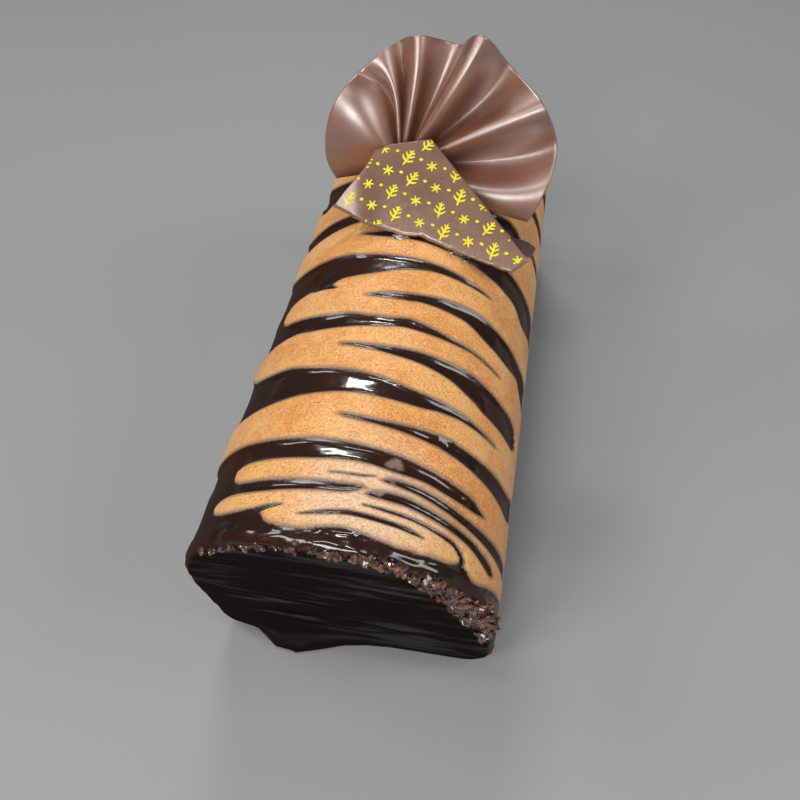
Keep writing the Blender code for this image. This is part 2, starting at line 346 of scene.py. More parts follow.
def section_at(turn):
    """The point (x, z) at this turn and its outward direction: cosine and sine on the half circle, then
    a straight side, then a quarter circle of the corner's radius."""
    past = np.maximum(0.0, np.abs(turn - 90) - 90) * MM_PER_DEGREE
    side = np.where(turn < 90, 1.0, -1.0)
    bend = np.clip(past - WALL, 0, None) / FOOT_CORNER
    roof, angle = past == 0, np.radians(turn)
    x = np.where(roof, LOG_RADIUS * np.cos(angle), side * (LOG_RADIUS - FOOT_CORNER * (1 - np.cos(bend))))
    z = np.where(roof, LOG_RADIUS * np.sin(angle), -np.minimum(past, WALL) - FOOT_CORNER * np.sin(bend))
    out_x = np.where(roof, np.cos(angle), side * np.cos(bend))
    out_z = np.where(roof, np.sin(angle), -np.sin(bend))
    return np.stack([x, AXIS_HEIGHT + z], -1), np.stack([out_x, out_z], -1)


def over_roof(radius, turn, y):
    """The point this far from the roll's axis: x is the radius times cosine, z the axis plus radius times sine."""
    angle = np.radians(turn)
    x, y, z = np.broadcast_arrays(radius * np.cos(angle), y, AXIS_HEIGHT + radius * np.sin(angle))
    return np.stack([x, y, z], -1)


def front_y(x, z):
    """Where the leaning front face lies: straight in z, with a bell-shaped drip of glaze at its foot."""
    lean = FRONT_SET_BACK * (1.0 - z / (AXIS_HEIGHT + LOG_RADIUS))
    width = np.where(x < DRIP_AT_X, *DRIP_WIDTHS)
    drip = DRIP_REACH * np.exp(-(((x - DRIP_AT_X) / width) ** 2) - (z / DRIP_HEIGHT) ** 2)
    return -LOG_LENGTH / 2 + lean - drip


def drawn_in(outline, share):
    """The outline (x, z) scaled to this share of its size about the middle of the face."""
    middle = np.array([0.0, FACE_MIDDLE_HEIGHT])
    return middle + (outline - middle) * share


print(f"section: {2 * LOG_RADIUS} wide, {AXIS_HEIGHT + LOG_RADIUS} high, turns to {TURN_BEYOND:.1f} beyond the roof")

# %% [markdown]
# The stripes are the cake's signature: long tapering channels of bare dark glaze between fingers of
# caramel velvet. Each channel is kept as its two edges, as distances from the front rim at a few turns
# round the roll. A smooth curve through them gives, at every point of the surface, how many millimetres
# it lies inside the channel (or, below zero, outside). Painting and relief both read that one number, so
# the colour always sits exactly in its channel. A painted texture would blur, and cutting the mesh along
# every edge would make it far heavier.

# %% The edges of the channels: (turn, distance from the front rim), from left to right
CHANNELS = {
    "rim": (
        ((250, -9), (-70, -9)),
        ((250, 16), (140, 13), (136, 11.5), (135.2, 9.7), (134, 8.4), (131, 7.3), (125, 6.6), (115, 6.4),
         (111, 5.8), (109.5, 4.6), (108, 3.4), (105, 2.2), (100, 1.5), (95, 1.5), (90, 2), (85, 3), (80, 3.2),
         (75, 2.7), (70, 2.3), (65, 2), (60, 2.2), (55, 2.9), (50, 3.5), (45, 4.3), (42, 5.5), (40, 7), (38, 6),
         (35, 4.2), (30, 4.5), (25, 6), (20, 7), (15, 8), (0, 10), (-20, 12), (-45, 16), (-70, 19)),
    ),
    "second left": (
        ((250, 2), (140, 6), (136, 8), (135.2, 9.7), (134, 11.2), (131, 12.1), (125, 12.3), (120, 12),
         (115, 11.8), (110, 11.7), (100, 11.9), (90, 12.2), (85, 12.5), (82, 13.2), (79, 14.4)),
        ((250, 30), (136, 21), (131, 20), (129.2, 18), (128, 16.2), (125, 14.9), (120, 14.4), (115, 14.3),
         (110, 14.2), (100, 14), (90, 14), (85, 14.2), (82, 14.4), (79, 14.4)),
    ),
    "second right": (
        ((77, 13), (75, 12.9), (70, 13), (65, 13.2), (60, 13.1), (50, 12.8), (40, 12.3), (35, 11.8), (30, 11),
         (25, 10.3), (22, 10.3), (20, 11.2)),
        ((77, 13), (75, 14), (70, 14.6), (65, 14.8), (60, 14.6), (50, 14.1), (40, 13.7), (35, 13.4), (30, 12.9),
         (25, 12.5), (22, 12.1), (20, 11.2)),
    ),
    "third right": (
        ((73, 17.5), (70, 17.4), (60, 17.2), (50, 16.6), (40, 16), (30, 15.8), (20, 15.8), (5, 16.3),
         (-10, 17.5), (-25, 19), (-45, 20), (-70, 20)),
        ((73, 17.5), (70, 18.3), (60, 18.6), (50, 18.2), (40, 17.7), (30, 18), (20, 18.5), (5, 19.5), (-10, 21),
         (-25, 23), (-45, 27), (-70, 30)),
    ),
    "fourth left": (
        ((250, 10), (134, 15), (130.5, 16.6), (129.2, 18), (128, 19.7), (125, 20.7), (120, 20.9), (100, 20.6),
         (90, 21), (80, 21.2), (70, 20.8), (60, 21.2), (50, 20.9), (40, 21.1), (35, 21.6), (32, 22.2)),
        ((250, 46), (200, 44), (196, 40), (190, 36), (180, 32.8), (170, 31), (160, 29.5), (150, 28.3),
         (145, 28), (140, 27.8), (130, 27.2), (120, 26.4), (110, 26), (100, 25.9), (90, 25.6), (80, 25.2),
         (70, 25), (60, 24.5), (50, 24.1), (40, 23.9), (37, 23.5), (34, 22.6), (32, 22.2)),
    ),
    "fifth right": (
        ((93, 33.7), (90, 33.2), (80, 32.6), (70, 32.4), (60, 32.2), (50, 31.9), (40, 31.4), (30, 31),
         (20, 30.5), (15, 30.4), (10, 31), (5, 33), (0, 34), (-15, 35), (-30, 34), (-45, 30), (-70, 28)),
        ((93, 33.7), (90, 33.6), (80, 33.4), (70, 34), (60, 34.8), (50, 35.2), (40, 35.4), (30, 35.8), (20, 36),
         (15, 36.4), (10, 37.5), (5, 39), (-15, 42), (-30, 45), (-45, 50), (-70, 54)),
    ),
    "sixth left": (
        ((250, 28), (203, 32), (198, 36), (196, 38.5), (193, 41), (185, 42.3), (175, 42.6), (165, 42.2),
         (155, 41), (150, 40.4), (140, 39.6), (130, 39.3), (120, 39.5), (110, 40.4), (100, 40.9), (90, 41.1),
         (80, 40.9), (70, 41), (65, 41.4), (60, 42.3), (55, 42.9), (50, 43.4), (40, 43.7), (31, 44)),
        ((250, 76), (190, 72), (184, 69.8), (178, 67), (170, 64.5), (160, 61.6), (155, 60), (150, 56.5),
         (145, 54), (140, 52.7), (135, 51.8), (130, 51.1), (120, 50.4), (115, 49.7), (110, 49), (100, 48.2),
         (90, 47.4), (80, 46.3), (75, 45.7), (70, 45.2), (60, 45), (50, 44.9), (40, 44.3), (31, 44)),
    ),
    "seventh right": (
        ((101, 57.2), (95, 56.5), (90, 56), (80, 55.2), (70, 54.8), (60, 54), (55, 53.3), (50, 52.2),
         (45, 51.5), (40, 50.5), (30, 50.4), (20, 50.6), (15, 51.2), (12, 54)),
        ((101, 57.2), (90, 57), (80, 57.4), (70, 58), (60, 58.4), (50, 59), (45, 59), (40, 58.7), (30, 58.2),
         (20, 58.3), (14, 57), (12, 54)),
    ),
    "eighth left": (
        ((250, 60), (190, 66), (184, 69.4), (178, 71), (170, 70.6), (160, 68.3), (150, 65.5), (140, 64.8),
         (125, 64.8), (120, 64.4), (115, 63.8), (105, 63.6), (95, 64.1), (90, 64.4), (85, 64.9), (80, 65.5),
         (70, 65.6), (60, 66), (50, 66.6), (40, 66.3), (35, 66.2)),
        ((250, 90), (148, 84), (142, 79.5), (139.7, 76), (138, 73.5), (135, 71.9), (130, 71), (125, 70.2),
         (120, 69.6), (115, 69), (110, 68.6), (100, 68.4), (95, 67.8), (90, 67.6), (85, 67.7), (80, 68.3),
         (77, 68.5), (70, 67.7), (60, 67), (50, 66.9), (40, 66.5), (35, 66.2)),
    ),
    "ninth right": (
        ((97, 75.9), (90, 75.5), (80, 75.6), (75, 76.1), (60, 76.2), (55, 76), (50, 75), (45, 73.9), (40, 73.5),
         (30, 73), (20, 74), (15, 72), (5, 71), (-10, 71), (-25, 69), (-45, 64), (-70, 60)),
        ((97, 75.9), (90, 76.9), (80, 77.9), (70, 79.2), (60, 80.4), (50, 81), (40, 80.6), (30, 80.2),
         (20, 79.5), (10, 80), (0, 81), (-15, 84), (-30, 88), (-45, 94), (-70, 98)),
    ),
    "tenth left": (
        ((250, 62), (148, 69), (142, 73), (139.7, 76), (138, 79.8), (135, 81.3), (130, 82.1), (125, 82.4),
         (120, 82.3), (116, 82.3), (113.5, 82.6), (112, 83.4), (110, 84), (105, 84.4), (100, 84.8), (95, 85.5),
         (90, 86.5), (85, 87.6), (80, 88.6), (75, 89.3), (70, 89.7), (60, 90), (50, 90.4), (47, 90.6)),
        ((250, 126), (205, 124), (198, 120), (192, 115.5), (186, 112), (175, 108), (165, 105), (155, 102),
         (150, 98.5), (145, 97), (140, 96), (130, 95.2), (120, 94.9), (110, 94.2), (105, 93.3), (90, 92.6),
         (80, 92.4), (70, 92.1), (60, 91.6), (50, 90.8), (47, 90.6)),
    ),
    "eleventh right": (
        ((108, 103.8), (100, 102), (90, 101.2), (80, 100.9), (70, 100.2), (60, 99.8), (50, 99), (40, 98.4),
         (30, 97.7), (25, 95.5), (20, 94.9), (10, 97), (0, 97), (-15, 96), (-30, 94), (-45, 90), (-70, 88)),
        ((108, 103.8), (100, 103.8), (90, 104.5), (80, 105.2), (70, 106), (60, 106.8), (50, 107.3), (40, 107.6),
         (20, 107.3), (10, 108), (0, 109), (-15, 112), (-30, 116), (-45, 122), (-70, 126)),
    ),
    "twelfth left": (
        ((250, 104), (205, 107), (198, 110), (192, 115.5), (187, 118.3), (175, 119), (165, 118), (155, 116),
         (150, 113), (145, 111), (140, 110.3), (130, 110), (120, 110.2), (100, 111.2), (80, 112.2), (60, 113)),
        ((250, 150), (208, 146), (202, 142), (196, 138.5), (188, 133), (175, 129), (165, 126), (155, 122),
         (150, 118.5), (145, 117.2), (140, 116.5), (130, 116), (120, 115.5), (100, 115), (80, 114.2),
         (60, 113)),
    ),
    "thirteenth left": (
        ((250, 128), (208, 131), (202, 134), (196, 138.5), (188, 143.5), (175, 144.5), (165, 143.5), (155, 141),
         (150, 135), (145, 131.5), (140, 130), (135, 130.5), (120, 129), (100, 127.3), (80, 126), (60, 124.8),
         (51, 124.3), (45, 124), (40, 124), (35, 125), (33, 126.8)),
        ((250, 172), (200, 168), (194, 164), (186, 160), (175, 158), (165, 156), (155, 152), (150, 149),
         (140, 143), (130, 139), (120, 136), (100, 132.5), (80, 129.8), (60, 127.5), (51, 127), (45, 129),
         (40, 129.5), (35, 128.5), (33, 126.8)),
    ),
    "fourteenth right": (
        ((24, 130.5), (17, 129), (5, 129.5), (-10, 130), (-25, 129), (-45, 126), (-70, 124)),
        ((24, 130.5), (17, 131.5), (5, 133), (-10, 136), (-25, 140), (-45, 146), (-70, 150)),
    ),
    "fifteenth right": (
        ((100, 140.5), (80, 140.3), (60, 141.8), (40, 144.3), (25, 147), (10, 147.3), (-10, 148), (-30, 147),
         (-45, 144), (-70, 142)),
        ((100, 140.5), (80, 142.3), (60, 145), (40, 148.6), (25, 151), (10, 152), (-10, 155), (-30, 160),
         (-45, 166), (-70, 170)),
    ),
    "sixteenth left": (
        ((250, 154), (200, 156), (194, 160), (187, 165), (175, 166.5), (165, 167), (155, 165), (140, 158.5),
         (120, 154), (100, 152.6), (80, 153.4), (60, 155.6), (46, 157.4)),
        ((250, 190), (192, 186), (186, 182), (178, 178), (165, 174.5), (155, 171.5), (140, 165.8), (120, 161.8),
         (100, 159.8), (80, 158.9), (60, 158.2), (46, 157.4)),
    ),
    "seventeenth right": (
        ((98, 167), (80, 166.4), (60, 166.8), (40, 168.2), (20, 169.3), (0, 169), (-20, 168), (-45, 165),
         (-70, 162)),
        ((98, 167), (80, 168.6), (60, 170.8), (40, 173.4), (20, 175.6), (0, 177), (-20, 180), (-45, 186),
         (-70, 190)),
    ),
    "eighteenth left": (
        ((250, 166), (192, 172), (186, 178), (178, 182), (165, 183), (155, 182), (140, 177.5), (120, 174.6),
         (100, 173.8), (80, 174.5), (62, 176.2), (52, 177.6)),
        ((250, 200), (178, 200), (155, 189), (140, 184.5), (120, 181), (100, 179.2), (80, 178.6), (62, 178.4),
         (52, 177.6)),
    ),
    "rear rim": (
        ((250, 176), (170, 182), (150, 185), (120, 185.5), (100, 184.6), (80, 185.8), (60, 185), (40, 184),
         (20, 184.6), (0, 183), (-20, 181), (-45, 176), (-70, 175)),
        ((250, 210), (-70, 210)),
    ),
}
SCORES = (  # thin scored lines, and tongues into the caramel: turn, distance from the rim, half width
    ((97, 5.3, 0), (90, 6.2, 0.4), (85, 6.9, 0.45), (80, 7.4, 0.5), (65, 7.5, 0.45), (60, 7.4, 0.4),
     (56, 7.1, 0)),
    ((78, 10.1, 0), (70, 10.2, 0.25), (60, 10.4, 0.3), (50, 10.1, 0.4), (45, 9.8, 0.5), (42, 9, 0.6),
     (40, 7.8, 0.75), (39.5, 6.5, 0.8), (38.5, 5.2, 0.9)),
    ((91, 16.9, 0), (85, 17.1, 0.12), (80, 17.4, 0.12), (76, 18, 0)),
    ((118, 4.8, 1.8), (113, 6, 1.0), (109, 7, 0.5), (106, 7.4, 0.3), (103, 7.7, 0)),
    ((122, 82.4, 1.2), (118, 82, 1.0), (115, 81.3, 0.8), (113, 80.7, 0.45), (111, 80, 0)),
)
print(f"{len(CHANNELS)} channels and {len(SCORES)} scored lines")

# %% How far inside a channel each point lies
EDGE_STEPS = 8
TIP_FALL = 0.6  # how fast the number falls past a channel's tip, per mm
SOFT_JOIN = 0.5  # mm over which two channels run into each other
SCORE_FALL, SCORE_REACH = 2.2, 12.0  # a scored line's number falls faster, for a crisp edge, and ends this far off
SKIRT = (-31.0, 207.0)  # turns below which the glaze at the foot covers the stripes
SKIRT_JOIN = 3.0
SKIRT_WAVES = ((2.2, 6.1, 0.0), (1.6, 2.9, 1.0))  # height in degrees, mm for each radian, shift in radians
FAR_OUTSIDE, DEPTH_KEPT = -30.0, 6.0  # mm: what every point starts from, and the most that is kept


def either(a, b, soft):
    """The larger of two numbers, rounded off where they come within soft mm of each other."""
    return np.maximum(a, b) + np.maximum(soft - np.abs(a - b), 0.0) ** 2 / (4 * soft)


def channel_depth(edges, turn, along):
    """The smaller of the distances to the near and the far edge; past a tip it falls off with the turn."""
    near, far = (smooth_path(edge, EDGE_STEPS)[::-1] for edge in edges)
    inside = np.minimum(along - np.interp(turn, *near.T), np.interp(turn, *far.T) - along)
    past = np.maximum(near[0, 0] - turn, turn - near[-1, 0]).clip(0)
    return inside - TIP_FALL * MM_PER_DEGREE * past


def score_depth(score, turn, along):
    """Half width less the distance to the nearest point of the scored line."""
    line = smooth_path(score, EDGE_STEPS)
    start, step = line[:-1], np.diff(line, axis=0)
    offset_u = (turn[..., None] - start[:, 0]) * MM_PER_DEGREE
    offset_v = along[..., None] - start[:, 1]
    step_u, step_v = step[:, 0] * MM_PER_DEGREE, step[:, 1]
    t = np.clip((offset_u * step_u + offset_v * step_v) / (step_u**2 + step_v**2), 0, 1)
    distance = np.hypot(offset_u - t * step_u, offset_v - t * step_v)
    return (start[:, 2] + t * step[:, 2] - distance).max(axis=-1)


def bare_glaze(turn, along):
    """How many mm each point lies inside the bare dark glaze: the largest depth in any channel, scored line or
    skirt. Below zero it is caramel."""
    depth = np.full(np.broadcast(turn, along).shape, FAR_OUTSIDE)
    for edges in CHANNELS.values():
        depth = either(depth, channel_depth(edges, turn, along), SOFT_JOIN)
    for score in SCORES:
        close = np.abs(along - np.mean(score, axis=0)[1]) < SCORE_REACH
        scored = score_depth(score, turn[close], along[close])
        depth[close] = either(depth[close], np.where(scored < 0, SCORE_FALL * scored, scored), SOFT_JOIN)
    wave = sum(height * np.sin(along / length + shift) for height, length, shift in SKIRT_WAVES)
    for skirt, side in zip(SKIRT, (1, -1)):
        depth = either(depth, side * (skirt + wave - turn) * MM_PER_DEGREE, SKIRT_JOIN)
    return depth.clip(-DEPTH_KEPT, DEPTH_KEPT)


on_top = bare_glaze(np.full(185, 90.0), np.arange(185.0))
print(f"along the top of the roll {np.mean(on_top > 0):.0%} is bare glaze")

# %% [markdown]
# Now the roll itself, as one closed surface: rings of points round the section, carried from the middle
# of the front face out to its rim, back along the roll and in again over the rear face. The rings lie
# closer together near the front, where the thin scored lines are. The channels sink in by almost a
# millimetre, glaze stands in beads here and there, and the cut end has soft ripples where it was brushed.

# %% Relief of the round surface
CHANNEL_SINK = 0.9
GLAZE_LUMPS = ((0.16, (9.0, 4.0, 9.0), 3), (0.11, 3.2, 4), (0.035, 1.3, 9))  # height and size in mm, and seed
ROLL_LUMPS = ((0.10, 11.0, 5),)
SCUFF_LUMPS = ((0.35, 1.6, 6),)
RIM_HEIGHT, RIM_LUMPS = 0.4, ((0.26, (4.2, 2.0, 4.2), 7), (0.4, (2.4, 1.3, 2.4), 8))
BEADS = (  # of glaze: turn, distance from the rim, radius, height
    (57.0, 33.8, 1.5, 0.75),
    (52.9, 34.9, 0.9, 0.8),
    (39.6, 33.1, 1.0, 0.6),
    (41.1, 22.8, 0.8, 0.5),
    (39.4, 17.1, 0.8, 0.5),
    (51.5, 24.5, 0.5, 0.4),
    (38.4, 52.4, 0.9, 0.4),
    (40.2, 54.8, 0.7, 0.35),
)
SCUFFS = (  # turn, distance from the rim, radius
    (72.4, 22.4, 1.3),
    (70.3, 23.6, 1.4),
    (68.4, 22.6, 1.0),
    (73.9, 14.0, 0.9),
    (72.6, 14.6, 0.7),
    (70.0, 17.6, 1.1),
)


def bell(turn, along, at_turn, at_along, radius):
    """1 at a place on the roll, falling off with the distance in radii as e to the minus its square."""
    return np.exp(-((np.hypot((turn - at_turn) * MM_PER_DEGREE, along - at_along) / radius) ** 2))


def scuffed(turn, along):
    """1 where the velvet was scraped and smeared grey, falling off like a bell."""
    return sum(bell(turn, along, *scuff) for scuff in SCUFFS).clip(0, 1)


def roof_relief(points, turn, along, behind_rim, depth):
    """How far the surface stands off the plain roll, added up: channels sink, beads and uneven glaze rise."""
    relief = mixed_lumps(points, GLAZE_LUMPS) * ease(depth, 0.0, 1.5) - CHANNEL_SINK * ease(depth, -0.7, 1.1)
    relief += mixed_lumps(points, ROLL_LUMPS)
    for *place_and_radius, height in BEADS:
        relief += height * bell(turn, along, *place_and_radius)
    relief += mixed_lumps(points, SCUFF_LUMPS) * scuffed(turn, along)
    return relief + (1 - ease(behind_rim, 1.0, 4.0)) * (RIM_HEIGHT + mixed_lumps(points, RIM_LUMPS))


print(len(BEADS), "beads of glaze and", len(SCUFFS), "scuffs")

# %% Relief of the cut end
CRUST_BAND = (  # of bare crumb: the turn, and how far in from the rim it starts and ends
    (-60.0, 6.0, 6.0),
    (-18.0, 4.0, 4.0),
    (-13.0, 1.8, 3.6),
    (-7.0, -0.5, 5.5),
    (0.0, -1.5, 7.0),
    (12.0, -0.6, 9.0),
    (26.0, 1.2, 8.8),
    (40.0, 1.7, 8.0),
    (52.0, 1.0, 6.6),
    (62.0, 0.4, 4.8),
    (72.0, 1.2, 4.0),
    (88.0, 2.4, 4.2),
    (104.0, 2.4, 4.0),
    (121.0, 2.3, 3.8),
    (137.0, 2.2, 3.1),
    (147.0, 2.8, 2.8),
    (240.0, 6.0, 6.0),
)
CRUST_RAGS = ((0.7, 1.5, 12), (0.5, 4.0, 11))  # height and size in mm, and seed
RIPPLES = ((0.55, (20.0, 60.0, 6.0), 13), (0.22, (11.0, 60.0, 3.4), 14))
RIPPLE_SLOPE = (0.0, 0.0, 0.12)
TORN_CRUMB, TORN_BACK = ((0.55, 1.5, 16), (0.35, 0.8, 17)), 0.3


def crust(points, turn, inwards):
    """1 on the ragged band of crumb that shows between the glazed rim and the brushed face: an ease up at its
    start, one down at its end, and none where the band has no width."""
    turns, starts, ends = np.transpose(CRUST_BAND)
    start, end = np.interp(turn, turns, starts), np.interp(turn, turns, ends)
    ragged = inwards + mixed_lumps(points, CRUST_RAGS)
    begun, ended = ease(ragged, start - 0.5, start + 0.3), ease(ragged, end - 0.6, end + 0.4)
    return begun * (1 - ended) * ease(end - start, 0.2, 1.0)


def face_relief(points, crumbly):
    """How far the cut end stands out: long, gently sloping ripples of brushed glaze, and torn crumb in the band."""
    ripples = mixed_lumps(points + points[..., :1] * np.array(RIPPLE_SLOPE), RIPPLES)
    return ripples * (1 - crumbly) + (mixed_lumps(points, TORN_CRUMB) - TORN_BACK) * crumbly


widest = max(end - start for _, start, end in CRUST_BAND)
print(f"the crumb band is up to {widest:.1f} mm wide")

# %% Where the roll's rings go
AROUND_STEP = 1.05  # mm between the points round the section
FOOT_COLUMNS = 8  # points across the flat foot
FRONT_BANDS = ((0.0, 11.0, 0.55), (11.0, 36.5, 0.8))  # from, to and spacing of the rings
BODY_BANDS = ((0.0, 25.0, 0.4), (25.0, 110.0, 0.52), (110.0, 183.0, 0.75))
REAR_BANDS = ((0.0, 35.0, 2.6),)
REAR_LUMPS = ((0.25, 7.0, 18),)
ROUND_STEPS = 6  # rings over each rounded rim
FAR_BEHIND = 99.0  # stands for every distance where nothing of the front shows


def spaced(bands):
    """The distances of the rings in all the bands, one after another."""
    return np.concatenate([np.arange(*band) for band in bands])


def ring_places(outline):
    """For each ring, from the middle of the front to the middle of the rear: the share that it is drawn in to,
    its y, how far it belongs to an end's face, and its distance behind the front rim. A rounded rim is a quarter
    circle: its share goes with the sine of the bend and its y with the cosine."""
    front, rear, body_end = front_y(*outline.T), LOG_LENGTH / 2, BODY_BANDS[-1][1]
    bends = np.linspace(0, math.pi / 2, ROUND_STEPS + 1)[1:]
    for share in (1 - (spaced(FRONT_BANDS) + FRONT_ROUND) / LOG_RADIUS)[::-1]:
        yield share, front_y(*drawn_in(outline, share).T), 1.0, 0.0
    for bend in bends:
        share = 1 - FRONT_ROUND * (1 - math.sin(bend)) / LOG_RADIUS
        yield share, front + FRONT_ROUND * (1 - math.cos(bend)), 1 - ease(bend, 0.1, 0.7), 0.0
    start = front + FRONT_ROUND
    for part in spaced(BODY_BANDS)[1:] / body_end:
        yield 1.0, start + (rear - REAR_ROUND - start) * part, 0.0, part * body_end + 0.5
    for bend in bends[::-1]:
        share = 1 - REAR_ROUND * (1 - math.sin(bend)) / LOG_RADIUS
        yield share, rear - REAR_ROUND * (1 - math.cos(bend)), 0.0, FAR_BEHIND
    for share in 1 - (spaced(REAR_BANDS) + REAR_ROUND) / LOG_RADIUS:
        x, z = drawn_in(outline, share).T
        yield share, rear + mixed_lumps(np.stack([x, 0 * x, z], -1), REAR_LUMPS), 1.0, FAR_BEHIND


print(len(spaced(FRONT_BANDS)), "rings on the cut end and", len(spaced(BODY_BANDS)), "along the roll")

# %% The roll as one surface
BEFORE_STRIPES = -2.0  # in front of the rim, the stripes carry on unchanged from here
FOOT_FLAT = 7.0  # below this height the relief fades out, so the foot stays flat
FACE_UNTIL, RIM_SHARE = 5.0, 0.35  # the face's relief reaches this far behind the rim, at this share
CRUST_UNTIL = 2.0  # further behind the rim than this, a point counts as outside the crumb band


def roll_ring(outline, outward, turn, share, y, on_face, behind_rim):
    """One ring: the outline drawn in, moved outward by the roof's relief or forward by the face's, and the
    values that the finish reads at its points."""
    x, z = drawn_in(outline, share).T
    points = np.stack([x, y + 0 * x, z], -1)
    along = np.maximum(points[:, 1] - STRIPES_FROM, BEFORE_STRIPES)
    bare = bare_glaze(turn, along)
    relief = roof_relief(points, turn, along, behind_rim, bare) * ease(outline[:, 1], 0.0, FOOT_FLAT) * (1 - on_face)
    points[:, ::2] += outward * relief[:, None]
    crumbly = crust(points, turn, (1 - share) * LOG_RADIUS - max(behind_rim - CRUST_UNTIL, 0.0))
    if behind_rim < FACE_UNTIL:
        shown = max(on_face, RIM_SHARE) * ease(points[:, 2], 0.0, FOOT_FLAT)
        points[:, 1] -= face_relief(points, crumbly) * shown
    scuff = scuffed(turn, along) * (1 - on_face)
    return {"points": points, "bare": bare, "crust": crumbly, "scuff": scuff, "face": on_face + 0 * turn}


def build_roll(finish):
    """Rings one after another, with a point in the middle of each end that closes it."""
    turn = np.linspace(-TURN_BEYOND, 180 + TURN_BEYOND, int((180 + 2 * TURN_BEYOND) * MM_PER_DEGREE / AROUND_STEP))
    outline, outward = section_at(turn)
    foot_x = np.linspace(-(LOG_RADIUS - FOOT_CORNER), LOG_RADIUS - FOOT_CORNER, FOOT_COLUMNS + 2)[1:-1]
    outline = np.vstack([outline, np.stack([foot_x, 0 * foot_x], -1)])
    outward = np.vstack([outward, np.tile((0.0, -1.0), (FOOT_COLUMNS, 1))])
    turn = np.concatenate([turn, np.full(FOOT_COLUMNS, -TURN_BEYOND)])
    rings = [roll_ring(outline, outward, turn, *place) for place in ring_places(outline)]
    print(len(rings), "rings of", len(turn), "points")
    values = {key: np.array([ring[key] for ring in rings]) for key in rings[0]}
    points = values.pop("points")
    points = np.vstack([points.reshape(-1, 3), points[[0, -1]].mean(axis=1)])
    values = {key: np.append(rows, rows[[0, -1], 0]) for key, rows in values.items()}
    return put_piece("roll", points, closed_form(len(rings), len(turn)), finish, values)


# %% [markdown]
# The finish of the roll is two coats side by side. The caramel is sprayed cocoa butter: a fine orange-peel
# grain, satin, a little redder in its hollows. On top near the front rim a pale patch, broken into glints
# by the grain, is a painted reflection of the lamps. The channels are wet-looking dark glaze. Along their
# edges the spray thins out over about a millimetre, so the caramel turns grey-brown before it turns dark;
# that grey is partly a painted reflection. The cut end is nearly black, with reddish crumb along its rim.
# A dark gloss mirrors whatever lies before it, and low on the flanks and on the cut end that is a pale
# floor. So a shader without any gloss is mixed in there, which keeps the glaze dark and leaves a few
# streaks to shine.

# %% The colours of the roll
CARAMEL_PALE = srgb(238, 178, 108)
CARAMEL_DEEP = srgb(224, 150, 78)
CARAMEL_HOLLOW = srgb(190, 106, 42)
CARAMEL_LIGHT = srgb(252, 210, 158)
# thin spray over the dark glaze, partly lightened to grey as a painted reflection
THIN_SPRAY_AND_SHEEN = srgb(118, 99, 84)
SMEARED_GREY = srgb(150, 130, 112)
DARK_GLAZE = srgb(40, 26, 20)
DARK_GLAZE_WARM = srgb(52, 27, 13)
BLACK_GLAZE = srgb(20, 16, 14)
PAINTED_SHEEN = srgb(230, 212, 190)
PAINTED_SHEEN_AT, PAINTED_SHEEN_REACH = (0.010, -0.084, 0.079), (0.026, 0.006)  # a painted reflection of the lamps, pale on top near the rim, in metres
CRUMB_DARK = srgb(30, 12, 9)
CRUMB_WARM = srgb(84, 38, 27)
SPRAY_REACH, GLAZE_EDGE, WET_EDGE = (0.0, -1.5), (-0.28, 0.12), (-0.6, 0.4)  # mm inside the bare glaze
FLANKS = ((-0.015, -0.026, 0.9), (0.022, 0.034, 0.7))  # x where it starts and is full, in metres, and its share


def caramel_colour(made, grain, cloud):
    """Clouds of pale and deep caramel, redder in the grain's hollows, lighter on its tops, and a painted reflection:
    pale on top near the rim, brightest on the grain's tops.
    """
    mottle = made.noise(3.2, detail=2.0, roughness=0.6)
    caramel = made.blend(made.ease(cloud * 0.6 + mottle * 0.4, 0.38, 0.62), CARAMEL_PALE, CARAMEL_DEEP)
    caramel = made.blend(made.ease(grain, 0.5, 0.26) * 0.75, caramel, CARAMEL_HOLLOW)
    caramel = made.blend(made.ease(grain, 0.52, 0.72) * 0.7, caramel, CARAMEL_LIGHT)
    # painted reflection of the lamps: a pale patch on top near the rim, broken into glints by the grain
    off_sheen = made.node("ShaderNodeVectorMath", {"operation": "DISTANCE"}, {0: made.place, 1: PAINTED_SHEEN_AT}, "Value")
    pale_share = made.ease(off_sheen, *PAINTED_SHEEN_REACH) * (0.3 + made.ease(grain, 0.4, 0.6) * 0.4)
    return made.blend(pale_share, caramel, PAINTED_SHEEN)


print("caramel runs from", [round(part, 2) for part in CARAMEL_DEEP], "to", [round(part, 2) for part in CARAMEL_PALE])

